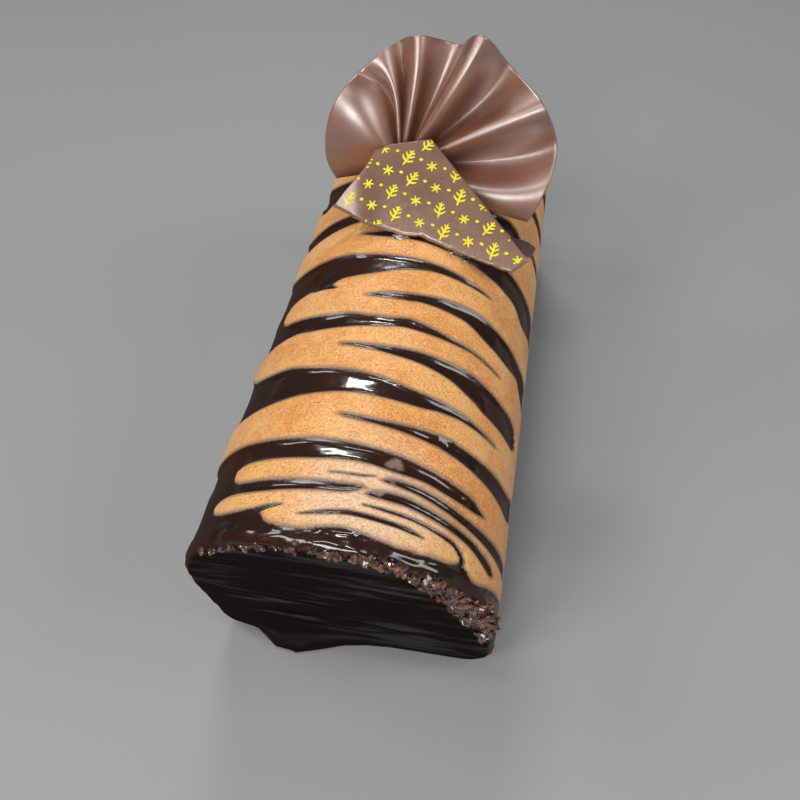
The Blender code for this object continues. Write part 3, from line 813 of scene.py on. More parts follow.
# %% The finish of the roll
def roll_finish():
    """Each colour is laid over the one before it by a mask from 0 to 1; so are gloss and relief."""
    made = Finish("caramel and dark glaze", IOR=1.42, Specular_IOR_Level=0.5, Coat_Roughness=0.06)
    bare, crumb, scuff, face = (made.value(name) for name in ("bare", "crust", "scuff", "face"))
    fuzz = made.noise(0.5, detail=3.0, roughness=0.7)
    grain = made.noise(0.55, detail=2.0, roughness=0.6, distortion=0.4)
    cloud = made.noise(16.0, detail=2.0)
    edge = bare + (fuzz - 0.5) * 0.7
    dark = made.ease(edge, *GLAZE_EDGE)

    # at the channel edges the caramel turns to thin spray, its grey partly a painted reflection
    colour = made.blend(made.ease(edge, *SPRAY_REACH), THIN_SPRAY_AND_SHEEN, caramel_colour(made, grain, cloud))
    colour = made.blend(dark, colour, made.blend(made.ease(cloud, 0.3, 0.7), DARK_GLAZE, DARK_GLAZE_WARM))
    colour = made.blend(made.ease(scuff * (0.2 + fuzz * 1.6), 0.3, 1.0) * 0.75, colour, SMEARED_GREY)
    colour = made.blend(face, colour, BLACK_GLAZE)
    specks = made.ease(made.noise(1.1, detail=3.0, roughness=0.7), 0.42, 0.62)
    colour = made.blend(crumb, colour, made.blend(specks, CRUMB_DARK, CRUMB_WARM))

    wet = made.ease(edge, *WET_EDGE) * (1 - face) + face
    roughness = 0.31 - wet * 0.11 + scuff * 0.12 + crumb * 0.12
    orange_peel = made.relief(grain * (1 - wet) * (1 - crumb), 0.3)
    pooled = made.relief(made.noise(5.0, detail=2.0) * wet * (1 - face), 0.22, orange_peel)
    coat = wet * (0.8 - face * 0.5) * (1 - crumb)
    made.set(Base_Color=colour, Roughness=roughness, Normal=pooled, Coat_Weight=coat)

    across = made.node("ShaderNodeSeparateXYZ", None, {"Vector": made.place}, "X")
    left, right = (made.ease(across, start, full) * share for start, full, share in FLANKS)
    streak = made.noise(9.0, detail=3.0, place=made.stretched(0.35, 1.0, 2.2))
    shade = (left + right) * dark * (1 - face) + face * (0.97 - made.ease(streak, 0.5, 0.75) * 0.35)
    made.dull(shade * (1 - crumb), colour)
    return made.material


roll = build_roll(roll_finish())
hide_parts("log")

# %% [markdown]
# Bare sponge breaks into crumbs, and no bump in a finish shows that from the side. So about a thousand real
# crumbs sit in the band under the rim. One crumb is a twenty-faced solid pushed out of shape; numpy turns,
# sizes and places all of them at once, and they share one mesh.

# %% One crumb
GOLDEN = (1 + math.sqrt(5)) / 2
CRUMB_POINTS = np.array([(s, t * GOLDEN, 0) for s in (-1, 1) for t in (-1, 1)], float)
CRUMB_POINTS = np.vstack([np.roll(CRUMB_POINTS, shift, axis=1) for shift in range(3)])
CRUMB_POINTS /= np.linalg.norm(CRUMB_POINTS[0])


def outward_triangles(points):
    """The faces of a convex solid: three points whose plane has every other point behind it."""
    found = []
    for a, b, c in itertools.combinations(range(len(points)), 3):
        side = (points - points[a]) @ np.cross(points[b] - points[a], points[c] - points[a])
        if np.all(side < 1e-9):
            found.append((a, b, c))
        elif np.all(side > -1e-9):
            found.append((a, c, b))
    return np.array(found)


CRUMB_FACES = outward_triangles(CRUMB_POINTS)
print(len(CRUMB_POINTS), "points and", len(CRUMB_FACES), "faces in a crumb")

# %% Where the crumbs stick
CRUMB_COUNT, CRUMB_TRIES = 1100, 18
CRUMB_TURNS, CRUMB_INWARDS = (-20, 150), (0, 9.5)
CLUSTER_SIZE, CLUSTERS_FROM = 1.8, -0.12  # crumbs stick where these lumps are high


def crumb_places(random):
    """Places on the cut end: a turn and a distance in from the rim, kept where the crumb band is. Near the rim
    they lie back by the rest of a circle: the radius less the root of its square less the square of what is left."""
    turn = random.uniform(*CRUMB_TURNS, CRUMB_COUNT * CRUMB_TRIES)
    inwards = random.uniform(*CRUMB_INWARDS, len(turn))
    x, z = drawn_in(section_at(turn)[0], (1 - inwards / LOG_RADIUS)[:, None]).T
    left = np.maximum(0, FRONT_ROUND - inwards)
    points = np.stack([x, front_y(x, z) + FRONT_ROUND - np.sqrt(FRONT_ROUND**2 - left**2), z], -1)
    kept = (crust(points, turn, inwards) > 0.5) & (lumps(points, CLUSTER_SIZE, seed=31) > CLUSTERS_FROM)
    return points[kept][:CRUMB_COUNT]


def turned(count, random):
    """One random turn per crumb, as matrices made from unit quaternions."""
    turns = random.normal(size=(4, count))
    w, x, y, z = turns / np.linalg.norm(turns, axis=0)
    rows = [
        [1 - 2 * (y * y + z * z), 2 * (x * y - z * w), 2 * (x * z + y * w)],
        [2 * (x * y + z * w), 1 - 2 * (x * x + z * z), 2 * (y * z - x * w)],
        [2 * (x * z - y * w), 2 * (y * z + x * w), 1 - 2 * (x * x + y * y)],
    ]
    return np.moveaxis(np.array(rows), 2, 0)


print(CRUMB_COUNT * CRUMB_TRIES, "places are tried for", CRUMB_COUNT, "crumbs")

# %% Crumbs along the cut rim
CRUMB_SIZES, SMALL_ONES = (0.3, 1.5), 2.2  # mm, and the power that makes most of them small
CRUMB_STRETCH, CRUMB_DENTS = (0.5, 1.2), (0.55, 1.12)
CRUMB_STANDS_OUT = 0.25  # of its size


def build_crumbs(finish):
    """Each crumb is the solid times its dents, its stretch and its size, turned and then put in its place."""
    random = np.random.default_rng(24)
    places = crumb_places(random)
    count = len(places)
    low, high = CRUMB_SIZES
    size = low + (high - low) * random.uniform(0, 1, count) ** SMALL_ONES
    stretch = random.uniform(*CRUMB_STRETCH, (count, 1, 3))
    dents = random.uniform(*CRUMB_DENTS, (count, len(CRUMB_POINTS), 1))
    shapes = CRUMB_POINTS[None] * dents * stretch * size[:, None, None]
    shapes = np.einsum("nij,nkj->nki", turned(count, random), shapes)
    places[:, 1] -= CRUMB_STANDS_OUT * size
    faces = CRUMB_FACES[None] + (np.arange(count) * len(CRUMB_POINTS))[:, None, None]
    return put_piece("crumbs", shapes + places[:, None], [faces.reshape(-1, 3)], finish, sharp=35.0)


def crumb_finish():
    """Moist crumb: two browns mixed by a noise of the crumb's own size, under a wet coat."""
    made = Finish("chocolate crumb", IOR=1.5, Coat_Weight=1.0, Coat_Roughness=0.06)
    tone = made.noise(1.3, detail=2.0)
    colour = made.blend(made.ease(tone, 0.4, 0.68), CRUMB_DARK, srgb(124, 72, 48))
    return made.set(Base_Color=colour, Roughness=0.3 + tone * 0.2, Normal=made.relief(made.noise(0.3), 0.1))


crumbs = build_crumbs(crumb_finish())

# %% [markdown]
# Chocolate that is spread thin and gathered while it sets makes thin plates. A plate here is a grid of
# points along its middle, pushed out both ways. Its half thickness shrinks to nothing at the border along a
# quarter circle, so front and back meet in a rounded edge, and the plate is closed without any extra faces.
# A Solidify modifier would give a square edge.

# %% A thin plate with a rounded edge
NEAR_EDGE = np.array([0.04, 0.16, 0.38, 0.7])


def close_to_edges(count, edge, both=True):
    """Shares from 0 to 1, evenly spaced, with four more within the edge share of the end or of both ends."""
    near = NEAR_EDGE * edge
    shares = [np.linspace(0, 1, count), 1 - near, *([near] if both else [])]
    return np.unique(np.round(np.concatenate(shares), 9))


def border_distance(middle):
    """The distance along the grid's own lines from each point to the nearest border."""
    shortest = []
    for axis in (0, 1):
        step = np.linalg.norm(np.diff(middle, axis=axis), axis=2)
        run = np.insert(np.cumsum(step, axis=axis), 0, 0.0, axis=axis)
        shortest.append(np.minimum(run, np.take(run, [-1], axis=axis) - run))
    return np.minimum(*shortest)


def plate_shell(middle, thickness):
    """Points and faces of a closed plate round this middle grid, seen from the side where rows point up. The
    half thickness is the radius times the root of 1 less the square of the distance that is still missing."""
    rows, columns, _ = middle.shape
    normal = np.cross(np.gradient(middle, axis=1), np.gradient(middle, axis=0))
    normal /= np.linalg.norm(normal, axis=2, keepdims=True)
    radius = np.broadcast_to(thickness, (rows, columns)) / 2
    half = radius * np.sqrt(1 - (1 - np.clip(border_distance(middle) / radius, 0, 1)) ** 2)
    offset = normal * half[..., None]
    inner = np.zeros((rows, columns), bool)
    inner[1:-1, 1:-1] = True
    points = np.vstack([(middle + offset).reshape(-1, 3), (middle - offset)[inner]])
    behind = np.arange(rows * columns).reshape(rows, columns)
    behind[inner] = rows * columns + np.arange(inner.sum())
    front = grid_faces(rows, columns)
    return points, np.vstack([front, behind.ravel()[front][:, ::-1]])


square = np.stack([*np.meshgrid(np.arange(3.0), np.arange(3.0)), np.zeros((3, 3))], -1)
print("a plate of 3 by 3 points gets", len(plate_shell(square, 1.0)[0]), "points, front and back")

# %% [markdown]
# The fan is one thin sheet gathered at a stem and pleated round it, like paper. It is built on lines that
# run out from the stem: each has an angle, a reach and a depth at the rim, and a smooth curve joins the
# lines, so crests and valleys open out as they leave the stem.

# %% The fan's lines
FAN_LINES = (  # angle at the rim, reach, depth at the rim, extra depth half way out, sideways bow in degrees
    (193.0, 23.5, -7.0, -1.0, 0.0),  # left end
    (178.5, 24.5, 0.0, 0.5, 0.0),
    (162.0, 24.5, 5.0, 2.5, 0.0),  # left lobe
    (144.5, 26.0, 8.5, 4.0, 0.0),
    (131.0, 27.5, 9.0, 4.5, -3.0),
    (123.0, 29.0, 6.5, 2.0, -10.0),
    (119.0, 30.0, 3.0, -5.0, -17.0),  # first valley
    (113.5, 31.0, 3.0, -2.0, -15.0),
    (106.5, 32.0, 4.0, 1.5, -9.5),  # first crest
    (99.5, 34.5, 2.0, 1.0, -4.5),
    (95.5, 36.0, -3.5, -3.5, -2.0),  # second valley
    (91.0, 37.0, 0.0, 0.5, -2.0),
    (85.5, 37.5, 4.5, 3.0, -3.0),  # second crest
    (81.0, 38.0, 2.5, 1.0, -3.0),
    (76.5, 38.0, -4.5, -3.0, -2.0),  # third valley
    (70.5, 38.5, -7.0, -4.0, 0.0),
    (65.5, 39.0, -6.0, -3.5, -1.0),
    (63.5, 41.0, 5.0, 2.5, -1.0),  # turned edge of the roll
    (61.0, 43.5, 9.5, 4.5, -2.0),  # third crest, rolled over
    (57.5, 44.5, 11.0, 5.5, -2.5),
    (53.0, 44.0, 5.0, 2.5, -3.5),
    (48.0, 43.0, -6.0, -6.0, -4.0),  # fourth valley
    (40.5, 43.5, -3.5, -4.0, -3.0),
    (34.5, 44.5, 1.0, 0.0, -1.0),  # shoulder
    (30.5, 45.5, 4.0, 1.5, 1.0),
    (25.5, 46.5, 8.5, 4.5, 1.0),  # fourth crest
    (20.5, 47.0, 5.0, 2.0, -1.0),
    (15.0, 47.5, -4.0, -5.5, -4.0),  # fifth valley
    (10.0, 47.5, -4.5, -6.5, -4.5),
    (5.0, 46.8, -2.0, -4.0, -4.5),
    (0.0, 46.0, 0.5, -0.5, -4.0),
    (-5.5, 44.8, 2.0, 2.0, -3.0),  # lower right lobe
    (-12.0, 43.5, 1.5, 3.0, -2.0),
    (-19.0, 42.5, -1.0, 3.0, -2.0),  # right end
)
print(len(FAN_LINES), "lines in the fan")

# %% The fan's sheet
FAN_STEM = (-5.0, 36.0, 81.3)
FAN_LEAN = math.radians(28.0)
FAN_THICKNESS = 1.1
FAN_INNER = 3.0
PLEAT_GROWTH = 1.5
FAN_COLUMNS, FAN_ROWS = 300, 70
FAN_END_SHARE, FAN_RIM_SHARE = 0.0012, 0.02  # of the sheet, with extra points for the rounded edge
ROW_CROWDING = 1.15  # brings the rows closer together near the stem


def lift_off_roll(points, clearance):
    """Pushes points that would lie in the roll's round top straight out of it, to this clearance."""
    x, z = points[..., 0], points[..., 2] - AXIS_HEIGHT
    distance = np.maximum(np.hypot(x, z), 1e-6)
    push = np.maximum(LOG_RADIUS + clearance, distance) / distance
    return np.stack([x * push, points[..., 1], AXIS_HEIGHT + z * push], axis=-1)


def fan_surface():
    """Middle of the sheet: share t of the reach along each line. The depth grows as t to the 1.5, and belly and
    bow add 4t(1 - t) of their size, so they are greatest half way out."""
    places = close_to_edges(FAN_COLUMNS, FAN_END_SHARE) * (len(FAN_LINES) - 1)
    angle, reach, depth, belly, bow = beside(FAN_LINES, places).T[:, None]
    inner = FAN_INNER / reach
    t = inner + (1 - inner) * close_to_edges(FAN_ROWS, FAN_RIM_SHARE, both=False)[:, None] ** ROW_CROWDING
    swell = 4 * t * (1 - t)
    turn = np.radians(angle + bow * swell)
    level, rise = math.cos(FAN_LEAN), math.sin(FAN_LEAN)
    directions = np.array([[1.0, 0.0, 0.0], [0.0, rise, level], [0.0, -level, rise]])  # across, up and forward
    shares = (t * reach * np.cos(turn), t * reach * np.sin(turn), depth * t**PLEAT_GROWTH + belly * swell)
    return lift_off_roll(np.stack(shares, -1) @ directions + FAN_STEM, PIECE_GAP + FAN_THICKNESS / 2), t


print("the fan's sheet spans", np.ptp(fan_surface()[0], axis=(0, 1)).round(1).tolist(), "mm")

# %% The fan's stem, and the fan
STEM_RADII = (5.5, 4.2, 4.2)
STEM_SEGMENTS, STEM_RINGS = 28, 15
STEM_CREASES, CREASE_DEPTH = 9, 0.05
FAN_STEM_THINNING, FAN_FULL_FROM = 0.5, 0.4


def stem_points():
    """A rounded knob that closes the gathered end: an ellipsoid whose skin is creased lengthwise, by a cosine."""
    polar = np.linspace(0, math.pi, STEM_RINGS + 2)[1:-1, None]
    around = np.linspace(0, 2 * math.pi, STEM_SEGMENTS, endpoint=False)[None]
    out = np.sin(polar) * (1 + CREASE_DEPTH * np.cos(STEM_CREASES * around) * np.sin(polar))
    unit = np.stack([out * np.cos(around), out * np.sin(around), np.cos(polar) + 0 * around], -1)
    points = np.vstack([unit.reshape(-1, 3), [(0, 0, 1), (0, 0, -1)]]) * STEM_RADII + FAN_STEM
    return lift_off_roll(points, PIECE_GAP)


def build_fan(finish):
    """The sheet as a plate, thinner near the stem, and the knob in the same mesh."""
    middle, t = fan_surface()
    thin = FAN_STEM_THINNING * np.maximum(0.0, 1.0 - t / FAN_FULL_FROM)
    points, faces = plate_shell(middle, FAN_THICKNESS * (1.0 - thin))
    stem_faces = [part + len(points) for part in closed_form(STEM_RINGS, STEM_SEGMENTS)]
    return put_piece("chocolate_fan", np.vstack([points, stem_points()]), [faces, *stem_faces], finish)


# %% [markdown]
# Tempered chocolate is a glossy fat with fine crystals in it. Faint clouds of bloom change its brown over a
# centimetre or so, and handling leaves fine upright scratches that dull it. All three plates share one
# recipe, with their own browns and their own gloss: the fan was let set on a shiny film, so its coat is the
# strongest. A warm tint on the reflections keeps them the colour of cocoa.

# %% The finish of the chocolate, on the fan
WARM_TINT = (1.0, 0.86, 0.76, 1.0)
COCOA_SPECK = srgb(60, 30, 22)


def chocolate_finish(name, pale, deep, roughness, scratches, gloss=0.5):
    """Satin to glossy: two browns mixed by clouds, roughness plus a share of the scratches, and a few specks."""
    extra = max(gloss - 0.5, 0)
    made = Finish(
        name,
        IOR=1.5 + 0.6 * extra,
        Specular_IOR_Level=gloss,
        Specular_Tint=WARM_TINT,
        Coat_Weight=gloss,
        Coat_Roughness=roughness - 0.04,
        Coat_IOR=1.8 + 0.5 * extra,
    )
    cloud = made.noise(14.0, detail=3.0)
    scratch = made.noise(1.6, detail=2.0, place=made.stretched(1.0, 1.0, 0.08))
    specks = made.ease(made.noise(0.8, detail=0.0), 0.74, 0.8)
    colour = made.blend(specks * 0.35, made.blend(made.ease(cloud, 0.3, 0.7), deep, pale), COCOA_SPECK)
    dulled = roughness + made.ease(scratch, 0.45, 0.7) * scratches + cloud * 0.06
    uneven = made.relief(made.noise(2.6, detail=2.0), 0.05, made.relief(scratch, 0.03))
    return made.set(Base_Color=colour, Roughness=dulled, Normal=uneven)


fan = build_fan(chocolate_finish("satin milk chocolate", srgb(126, 71, 41), srgb(105, 54, 30), 0.42, 0.08, gloss=1.0))
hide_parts("fan")

# %% [markdown]
# The plaque was snapped from a printed sheet of chocolate, so it has straight broken edges and a flat, shiny
# face. Its outline is four broken lines, and a Coons patch fills them: the sides and the ends are blended
# linearly, and the blend of the corners, counted twice, is taken off.

# %% The plaque's outline
PLAQUE_LOWER = ((-26.0, 7.8), (-15.9, 0.5), (-5.6, -3.4), (0.2, -4.0), (11.7, -9.3), (26.3, -15.2))
PLAQUE_RIGHT = ((26.3, -15.2), (31.1, -11.6), (3.3, 27.0))
PLAQUE_TOP = ((-13.5, 23.6), (-8.5, 25.6), (3.3, 27.0))
PLAQUE_LEFT = ((-26.0, 7.8), (-22.4, 12.1), (-17.3, 17.6), (-13.5, 23.6))
PLAQUE_COLUMNS, PLAQUE_ROWS = (90, 0.018), (60, 0.022)  # points, and the share near each edge with extra ones
BROKEN_EDGE = ((0.18, 1.3, 21),)  # height and size in mm, and seed


def run_lengths(knots):
    """The length of the straight runs up to each knot, from 0 at the first."""
    return np.append(0.0, np.cumsum(np.linalg.norm(np.diff(knots, axis=0), axis=1)))


def even_path(knots, shares):
    """Points at these shares of the length along the straight runs between the knots."""
    along = run_lengths(knots)
    return np.stack([np.interp(shares * along[-1], along, column) for column in np.transpose(knots)], axis=1)


def plaque_flat():
    """The Coons patch (1-u) left + u right + (1-v) lower + v top, less its corners blended both ways."""
    along_right = run_lengths(PLAQUE_RIGHT)
    u = close_to_edges(*PLAQUE_COLUMNS)
    v = np.unique(np.append(close_to_edges(*PLAQUE_ROWS), along_right[1] / along_right[-1]))
    lower, top = even_path(PLAQUE_LOWER, u), even_path(PLAQUE_TOP, u)
    left, right = even_path(PLAQUE_LEFT, v), even_path(PLAQUE_RIGHT, v)
    lower[:, 1] += mixed_lumps(np.insert(lower, 2, 0.0, axis=1), BROKEN_EDGE)
    u, v = u[None, :, None], v[:, None, None]
    corners = (1 - v) * ((1 - u) * lower[0] + u * lower[-1]) + v * ((1 - u) * top[0] + u * top[-1])
    return (1 - u) * left[:, None] + u * right[:, None] + (1 - v) * lower[None] + v * top[None] - corners


print(f"the plaque is {np.ptp(plaque_flat()[..., 0]):.1f} mm wide")

# %% The plaque
PLAQUE_AT = (5.0, 9.0, 81.2)
PLAQUE_LEAN, PLAQUE_TURN = math.radians(62.0), math.radians(8.0)
PLAQUE_THICKNESS = 1.5
PLAQUE_BEND_FROM, PLAQUE_BEND = -8.0, 0.014


def on_plaque(flat, lift):
    """A point (a, b) of the plaque's plane in space, bent back at the left by a parabola, this far in front of
    the plaque's face."""
    level = math.cos(PLAQUE_LEAN)
    normal = np.array([math.sin(PLAQUE_TURN) * level, -math.cos(PLAQUE_TURN) * level, math.sin(PLAQUE_LEAN)])
    along = np.array([math.cos(PLAQUE_TURN), math.sin(PLAQUE_TURN), 0.0])
    up = np.cross(normal, along)
    bend = -PLAQUE_BEND * np.maximum(0.0, PLAQUE_BEND_FROM - flat[..., :1]) ** 2
    return np.array(PLAQUE_AT) + flat[..., :1] * along + flat[..., 1:] * up + (bend + lift) * normal


plaque_points, plaque_faces = plate_shell(on_plaque(plaque_flat(), -PLAQUE_THICKNESS / 2), PLAQUE_THICKNESS)
plaque_look = chocolate_finish("glossy milk chocolate", srgb(128, 98, 80), srgb(116, 86, 70), 0.2, 0.05)
plaque = put_piece("chocolate_plaque", plaque_points, [plaque_faces], plaque_look)
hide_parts("plaque")

# %% [markdown]
# The print on the plaque is yellow cocoa butter, put on in loose brush strokes. The motif is a winter one:
# fir sprigs, six-armed stars and dabs in a staggered half-drop repeat. Each stroke is a real, very thin
# plate laid on the chocolate. Drawn in a material instead, its small strokes would blur.

# %% The printed sprigs and stars
SPRIG = (  # start, middle and end of each stroke, and its half width, in mm
    ((-0.2, -2.3), (0.0, 0.0), (0.35, 2.4), 0.24),
    ((-0.1, -0.9), (-0.8, -0.5), (-1.5, 0.3), 0.2),
    ((-0.05, -1.0), (0.7, -0.8), (1.5, -0.2), 0.2),
    ((0.05, 0.2), (-0.5, 0.6), (-1.1, 1.2), 0.19),
    ((0.05, 0.1), (0.7, 0.4), (1.3, 0.9), 0.19),
    ((0.2, 1.1), (-0.1, 1.5), (-0.5, 1.9), 0.17),
    ((0.2, 1.1), (0.6, 1.3), (1.0, 1.7), 0.17),
)
DAB = (((-0.45, -0.1), (0.0, 0.05), (0.45, 0.0), 0.3),)
STAR_REACH, STAR_DEGREES, STAR_MIDDLE = 1.45, (8, 67, 128), (0.0, 0.06)


def arm(turn):
    """A star's stroke from side to side through its middle, at this turn in radians."""
    x, y = STAR_REACH * math.cos(turn), STAR_REACH * math.sin(turn)
    return (-x, -y), STAR_MIDDLE, (x, y), 0.2


STAR = tuple(arm(math.radians(degrees)) for degrees in STAR_DEGREES)
print(len(SPRIG), "strokes in a sprig,", len(STAR), "in a star")

# %% Brush strokes
STROKE_LONG, STROKE_WIDE = 9, 4
STROKE_TIP = 0.35  # of the half width is left at its ends


def turn_flat(points, angle):
    """Points (a, b) turned anticlockwise: a cosine less b sine, and a sine plus b cosine."""
    level, rise = math.cos(angle), math.sin(angle)
    return points @ np.array([[level, rise], [-rise, level]])


def inside_outline(points):
    """True where a point of the plaque's plane lies within its outline: a ray from it to the right crosses the
    outline an odd number of times."""
    start = np.vstack([PLAQUE_LOWER, PLAQUE_RIGHT[1:], PLAQUE_TOP[::-1][1:], PLAQUE_LEFT[::-1][1:]])
    end = np.roll(start, -1, axis=0)
    x, y = points[..., :1], points[..., 1:]
    spans = (start[:, 1] > y) != (end[:, 1] > y)
    rise = np.where(end[:, 1] == start[:, 1], 1e-9, end[:, 1] - start[:, 1])
    crossing = start[:, 0] + (y - start[:, 1]) * (end[:, 0] - start[:, 0]) / rise
    return (spans & (x < crossing)).sum(-1) % 2 == 1


def stroke(marks, half_width):
    """A brush stroke as a grid: a parabola through three marks, its width like a stretched half circle."""
    a, b, c = np.array(marks)
    t = np.linspace(0, 1, STROKE_LONG)[:, None]
    line = a * (2 * t - 1) * (t - 1) + b * 4 * t * (1 - t) + c * t * (2 * t - 1)
    heading = np.gradient(line, axis=0)
    heading /= np.linalg.norm(heading, axis=1, keepdims=True)
    half_circle = np.sqrt(np.clip(1 - (2 * t - 1) ** 2 * 0.98, 0, 1))
    width = half_width * (STROKE_TIP + (1 - STROKE_TIP) * half_circle)
    side = np.stack([-heading[:, 1], heading[:, 0]], -1)
    across = np.linspace(1, -1, STROKE_WIDE)[None, :, None]
    return line[:, None] + across * (side * width)[:, None]


print(f"a dab of the brush is {np.ptp(stroke(DAB[0][:3], DAB[0][3])[..., 0]):.2f} mm long")

# %% The print
PRINT_STEP = (7.6, 5.9)  # mm between motifs along a row, and between rows
PRINT_TURN = math.radians(-23.0)
PRINT_ROWS = range(-6, 7)
PRINT_TILTS, PRINT_SIZES, PRINT_BOLDNESS = (-0.35, 0.35), (1.12, 1.3), 1.45
DAB_SHIFT = (0.5 * PRINT_STEP[0], 0.8)
PRINT_LIFT, PRINT_THICKNESS = 0.03, 0.09
PRINT_MARGIN = 1.015  # a stroke is kept where it would lie within the outline even if it lay this much further out


def print_motifs():
    """Every motif's strokes in the plaque's plane: a turned lattice, every second row moved by half a step."""
    random = np.random.default_rng(5)
    for row, column in itertools.product(PRINT_ROWS, PRINT_ROWS):
        centre = np.array([(column + 0.5 * (row % 2)) * PRINT_STEP[0], row * PRINT_STEP[1]])
        tilt, size = random.uniform(*PRINT_TILTS), random.uniform(*PRINT_SIZES)
        for shape, shift in ((SPRIG if (row + column) % 2 else STAR, (0, 0)), (DAB, DAB_SHIFT)):
            for *marks, half_width in shape:
                drawn = stroke(marks, half_width * PRINT_BOLDNESS) * size
                yield turn_flat(turn_flat(drawn, tilt) + centre + shift, PRINT_TURN)


def build_print(finish):
    """A thin plate for each stroke, cut where it would leave the plaque; broken or tiny ones are left out."""
    points, faces, count = [], [], 0
    for grid in print_motifs():
        whole = np.flatnonzero(inside_outline(grid * PRINT_MARGIN).all(axis=1))
        if len(whole) < 3 or whole[-1] - whole[0] + 1 != len(whole):
            continue
        shell, shell_faces = plate_shell(on_plaque(grid[whole], PRINT_LIFT), PRINT_THICKNESS)
        points.append(shell)
        faces.append(shell_faces + count)
        count += len(shell)
    print(len(points), "strokes in the print")
    return put_piece("plaque_print", np.vstack(points), [np.vstack(faces)], finish)


def print_finish():
    """Two yellows mixed by a fine noise, as where a brush leaves the cocoa butter thin."""
    made = Finish("yellow cocoa butter", Roughness=0.42)
    pale_share = made.ease(made.noise(0.5, detail=2.0), 0.3, 0.6)
    return made.set(Base_Color=made.blend(pale_share, srgb(214, 190, 30), srgb(240, 222, 48)))


plaque_print = build_print(print_finish())

# %% [markdown]
# Behind the plaque's right end a chip of the same sheet stands on its broken edge. It is ruled from a foot
# line on the roll up to an uneven top line, and roughened where it snapped.

# %% The chip
CHIP_THICKNESS = 1.1
CHIP_FOOT = ((42.0, 20.5), (24.5, 29.8))  # turn and y where its foot starts and ends
CHIP_HEIGHTS = (3.0, 3.4, 3.6, 3.0)
CHIP_TILT = 4.0  # degrees of turn from its foot to its top
CHIP_LEAN = 0.5  # mm back from its foot to its top
CHIP_FOOT_LIFT = 0.3
CHIP_LENGTH = 15  # mm along its foot, for the lumps on its top
CHIP_TOP_LUMPS, CHIP_FACE_LUMPS = ((0.15, 1.2, 31),), ((0.18, 1.4, 32),)


def build_chip(finish):
    """Share u runs along the foot and share v up from it: the radius grows by v times the height at u, while
    the turn and y go on by v times the tilt and the lean."""
    u, v = close_to_edges(60, 0.03), close_to_edges(16, 0.1)[:, None]
    start, end = np.array(CHIP_FOOT)
    turn, y = (start + (end - start) * u[:, None]).T
    height = np.interp(u, np.linspace(0, 1, len(CHIP_HEIGHTS)), CHIP_HEIGHTS)
    height = height + mixed_lumps(np.stack([u * CHIP_LENGTH, 0 * u, 0 * u], -1), CHIP_TOP_LUMPS)
    radius = LOG_RADIUS + PIECE_GAP + CHIP_FOOT_LIFT + v * height
    middle = over_roof(radius, turn + v * CHIP_TILT, y + v * CHIP_LEAN)
    middle[..., 1] += mixed_lumps(middle, CHIP_FACE_LUMPS)
    points, faces = plate_shell(middle, CHIP_THICKNESS)
    return put_piece("chocolate_chip", points, [faces], finish)


# Its browns are darker than the plaque's, though it is the same sheet: painted shade on its face, which lies in
# shade.
chip = build_chip(chocolate_finish("snapped chocolate in painted shade", srgb(92, 54, 42), srgb(52, 27, 21), 0.42, 0.1))
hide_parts("chip")

# %% [markdown]
# The plaque and the fan are stuck on with dabs of glaze, and a little of it has squeezed out in front of the
# plaque's foot. Each dab is a low dome on the roll: its height falls off as a circle's would.

# %% Dabs of glaze at the plaque's foot
DABS = (  # turn, distance from the front rim, half length, half width, height
    (90.5, 101.0, 2.8, 1.5, 1.3),
    (66.5, 100.4, 3.0, 1.6, 1.4),
    (60.8, 99.2, 1.8, 1.3, 1.1),
)
DAB_RINGS, DAB_SEGMENTS = 9, 32
DAB_SINK, DAB_ROOT = 0.3, 0.9  # below the glaze, and further below it for the point that closes the dab


def build_dabs(finish):
    """Domes: over each ellipse the height is h times the root of 1 - r squared, bent to the roll."""
    r = np.sin(np.linspace(0, math.pi / 2, DAB_RINGS + 1))[1:, None]
    around = np.linspace(0, 2 * math.pi, DAB_SEGMENTS, endpoint=False)[None]
    floor = LOG_RADIUS - CHANNEL_SINK
    points, quads, caps = [], [], []
    for number, (turn, along, length, width, height) in enumerate(DABS):
        wobble = 1 + 0.12 * np.sin(3 * around + number) + 0.06 * np.sin(5 * around)
        over = turn - r * np.cos(around) * length * wobble / MM_PER_DEGREE
        y = along + STRIPES_FROM + r * np.sin(around) * width * wobble
        radius = floor - DAB_SINK + (height + CHANNEL_SINK) * np.sqrt(np.clip(1 - r**2, 0, 1))
        closing = np.array([LOG_RADIUS + height - DAB_SINK, floor - DAB_ROOT])
        dome = np.vstack([over_roof(radius, over, y).reshape(-1, 3), over_roof(closing, turn, along + STRIPES_FROM)])
        dab_quads, dab_caps = closed_form(DAB_RINGS, DAB_SEGMENTS)
        points.append(dome)
        quads.append(dab_quads + number * len(dome))
        caps.append(dab_caps + number * len(dome))
    return put_piece("glaze_dabs", np.vstack(points), [np.vstack(quads), np.vstack(caps)], finish)


dab_glaze = Finish("poured glaze", IOR=1.5, Roughness=0.1, Coat_Weight=1.0, Coat_Roughness=0.03)
# the grey flecks mixed into the dark glaze are painted highlights on the dabs
dab_colour_with_painted_glints = dab_glaze.blend(dab_glaze.ease(dab_glaze.noise(1.6), 0.45, 0.6), DARK_GLAZE, srgb(150, 142, 134))
dabs = build_dabs(dab_glaze.set(Base_Color=dab_colour_with_painted_glints))

# %% [markdown]
# A plain pale floor, soft studio light and a pale surround finish the scene. Glossy glaze shows the lamps
# themselves, so each is a rectangle, and its size sets how broad its highlight is. Broad ones stand in front,
# to the left and to the right, and two narrow ones high up draw thin lines along the top of the roll.

# %% The floor
FLOOR_REACH = 3.0
FLOOR_GREYS = ((0.27, 0.275, 0.275), (0.31, 0.315, 0.31))


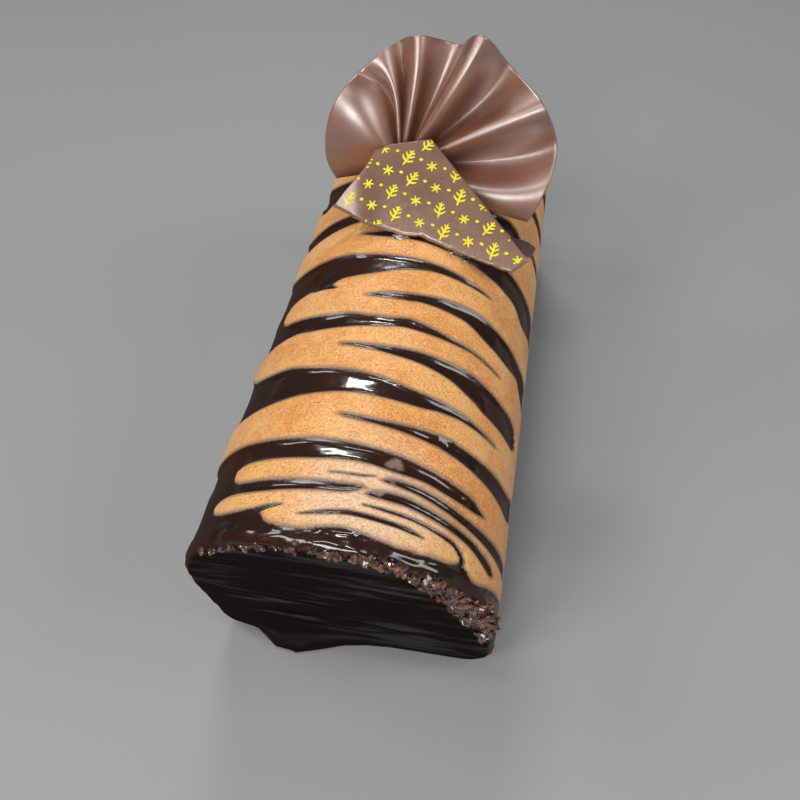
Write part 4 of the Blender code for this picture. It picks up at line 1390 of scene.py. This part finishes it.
def build_floor():
    """A square whose two greys are mixed by a noise as broad as the cake is long."""
    mesh = bpy.data.meshes.new("floor")
    corners = [(x * FLOOR_REACH, y * FLOOR_REACH, 0) for x, y in ((-1, -1), (1, -1), (1, 1), (-1, 1))]
    mesh.from_pydata(corners, [], [(0, 1, 2, 3)])
    pale = Finish("pale floor", Roughness=0.55)
    mesh.materials.append(pale.set(Base_Color=pale.blend(pale.noise(400.0), *FLOOR_GREYS)))
    made = in_scene("floor", mesh)
    return made


print("floor:", [round(side, 2) for side in build_floor().dimensions])

# %% The light
LIGHTS_AIM = Vector((0.0, 0.0, 0.06))
LAMPS = (  # name, bearing and height in degrees, distance and size in metres, watts
    ("front", 180.0, 27.0, 1.4, (0.6, 0.45), 11.0),
    ("key", 218.0, 42.0, 1.4, (0.5, 0.5), 6.0),
    ("right", 95.0, 35.0, 1.4, (0.65, 0.65), 6.8),
    ("overhead", 344.0, 49.0, 1.3, (0.42, 0.09), 4.6),
    ("strip", 190.0, 78.0, 1.3, (0.5, 0.06), 2.9),
    ("left", 272.0, 45.0, 1.3, (0.4, 0.4), 3.0),
)


def soft_light(name, bearing, height, distance, size, power):
    """A rectangular lamp that faces the cake from a bearing, 0 behind it and 90 to its right, and a height: its
    direction is sine and cosine of the bearing times the height's cosine, and the height's sine."""
    made = in_scene(name, bpy.data.lights.new(name, "AREA"))
    made.data.shape, made.data.size, made.data.size_y = "RECTANGLE", *size
    made.data.energy = power
    b, h = math.radians(bearing), math.radians(height)
    towards = Vector((math.sin(b) * math.cos(h), math.cos(b) * math.cos(h), math.sin(h)))
    made.location = LIGHTS_AIM + towards * distance
    made.rotation_euler = towards.to_track_quat("Z", "Y").to_euler()


for lamp in LAMPS:
    soft_light(*lamp)
print(len(LAMPS), "lamps,", sum(lamp[-1] for lamp in LAMPS), "watts")

# %% The surround
SURROUND_COLOUR, SURROUND_STRENGTH = (0.9, 0.95, 1.0, 1.0), 0.05

surround = bpy.data.worlds.new("surround")
surround.use_nodes = True
sky = surround.node_tree.nodes["Background"]
sky.inputs["Color"].default_value, sky.inputs["Strength"].default_value = SURROUND_COLOUR, SURROUND_STRENGTH
bpy.context.scene.world = surround
print("the surround has a strength of", SURROUND_STRENGTH)
bpy.context.scene.view_settings.view_transform = "Standard"
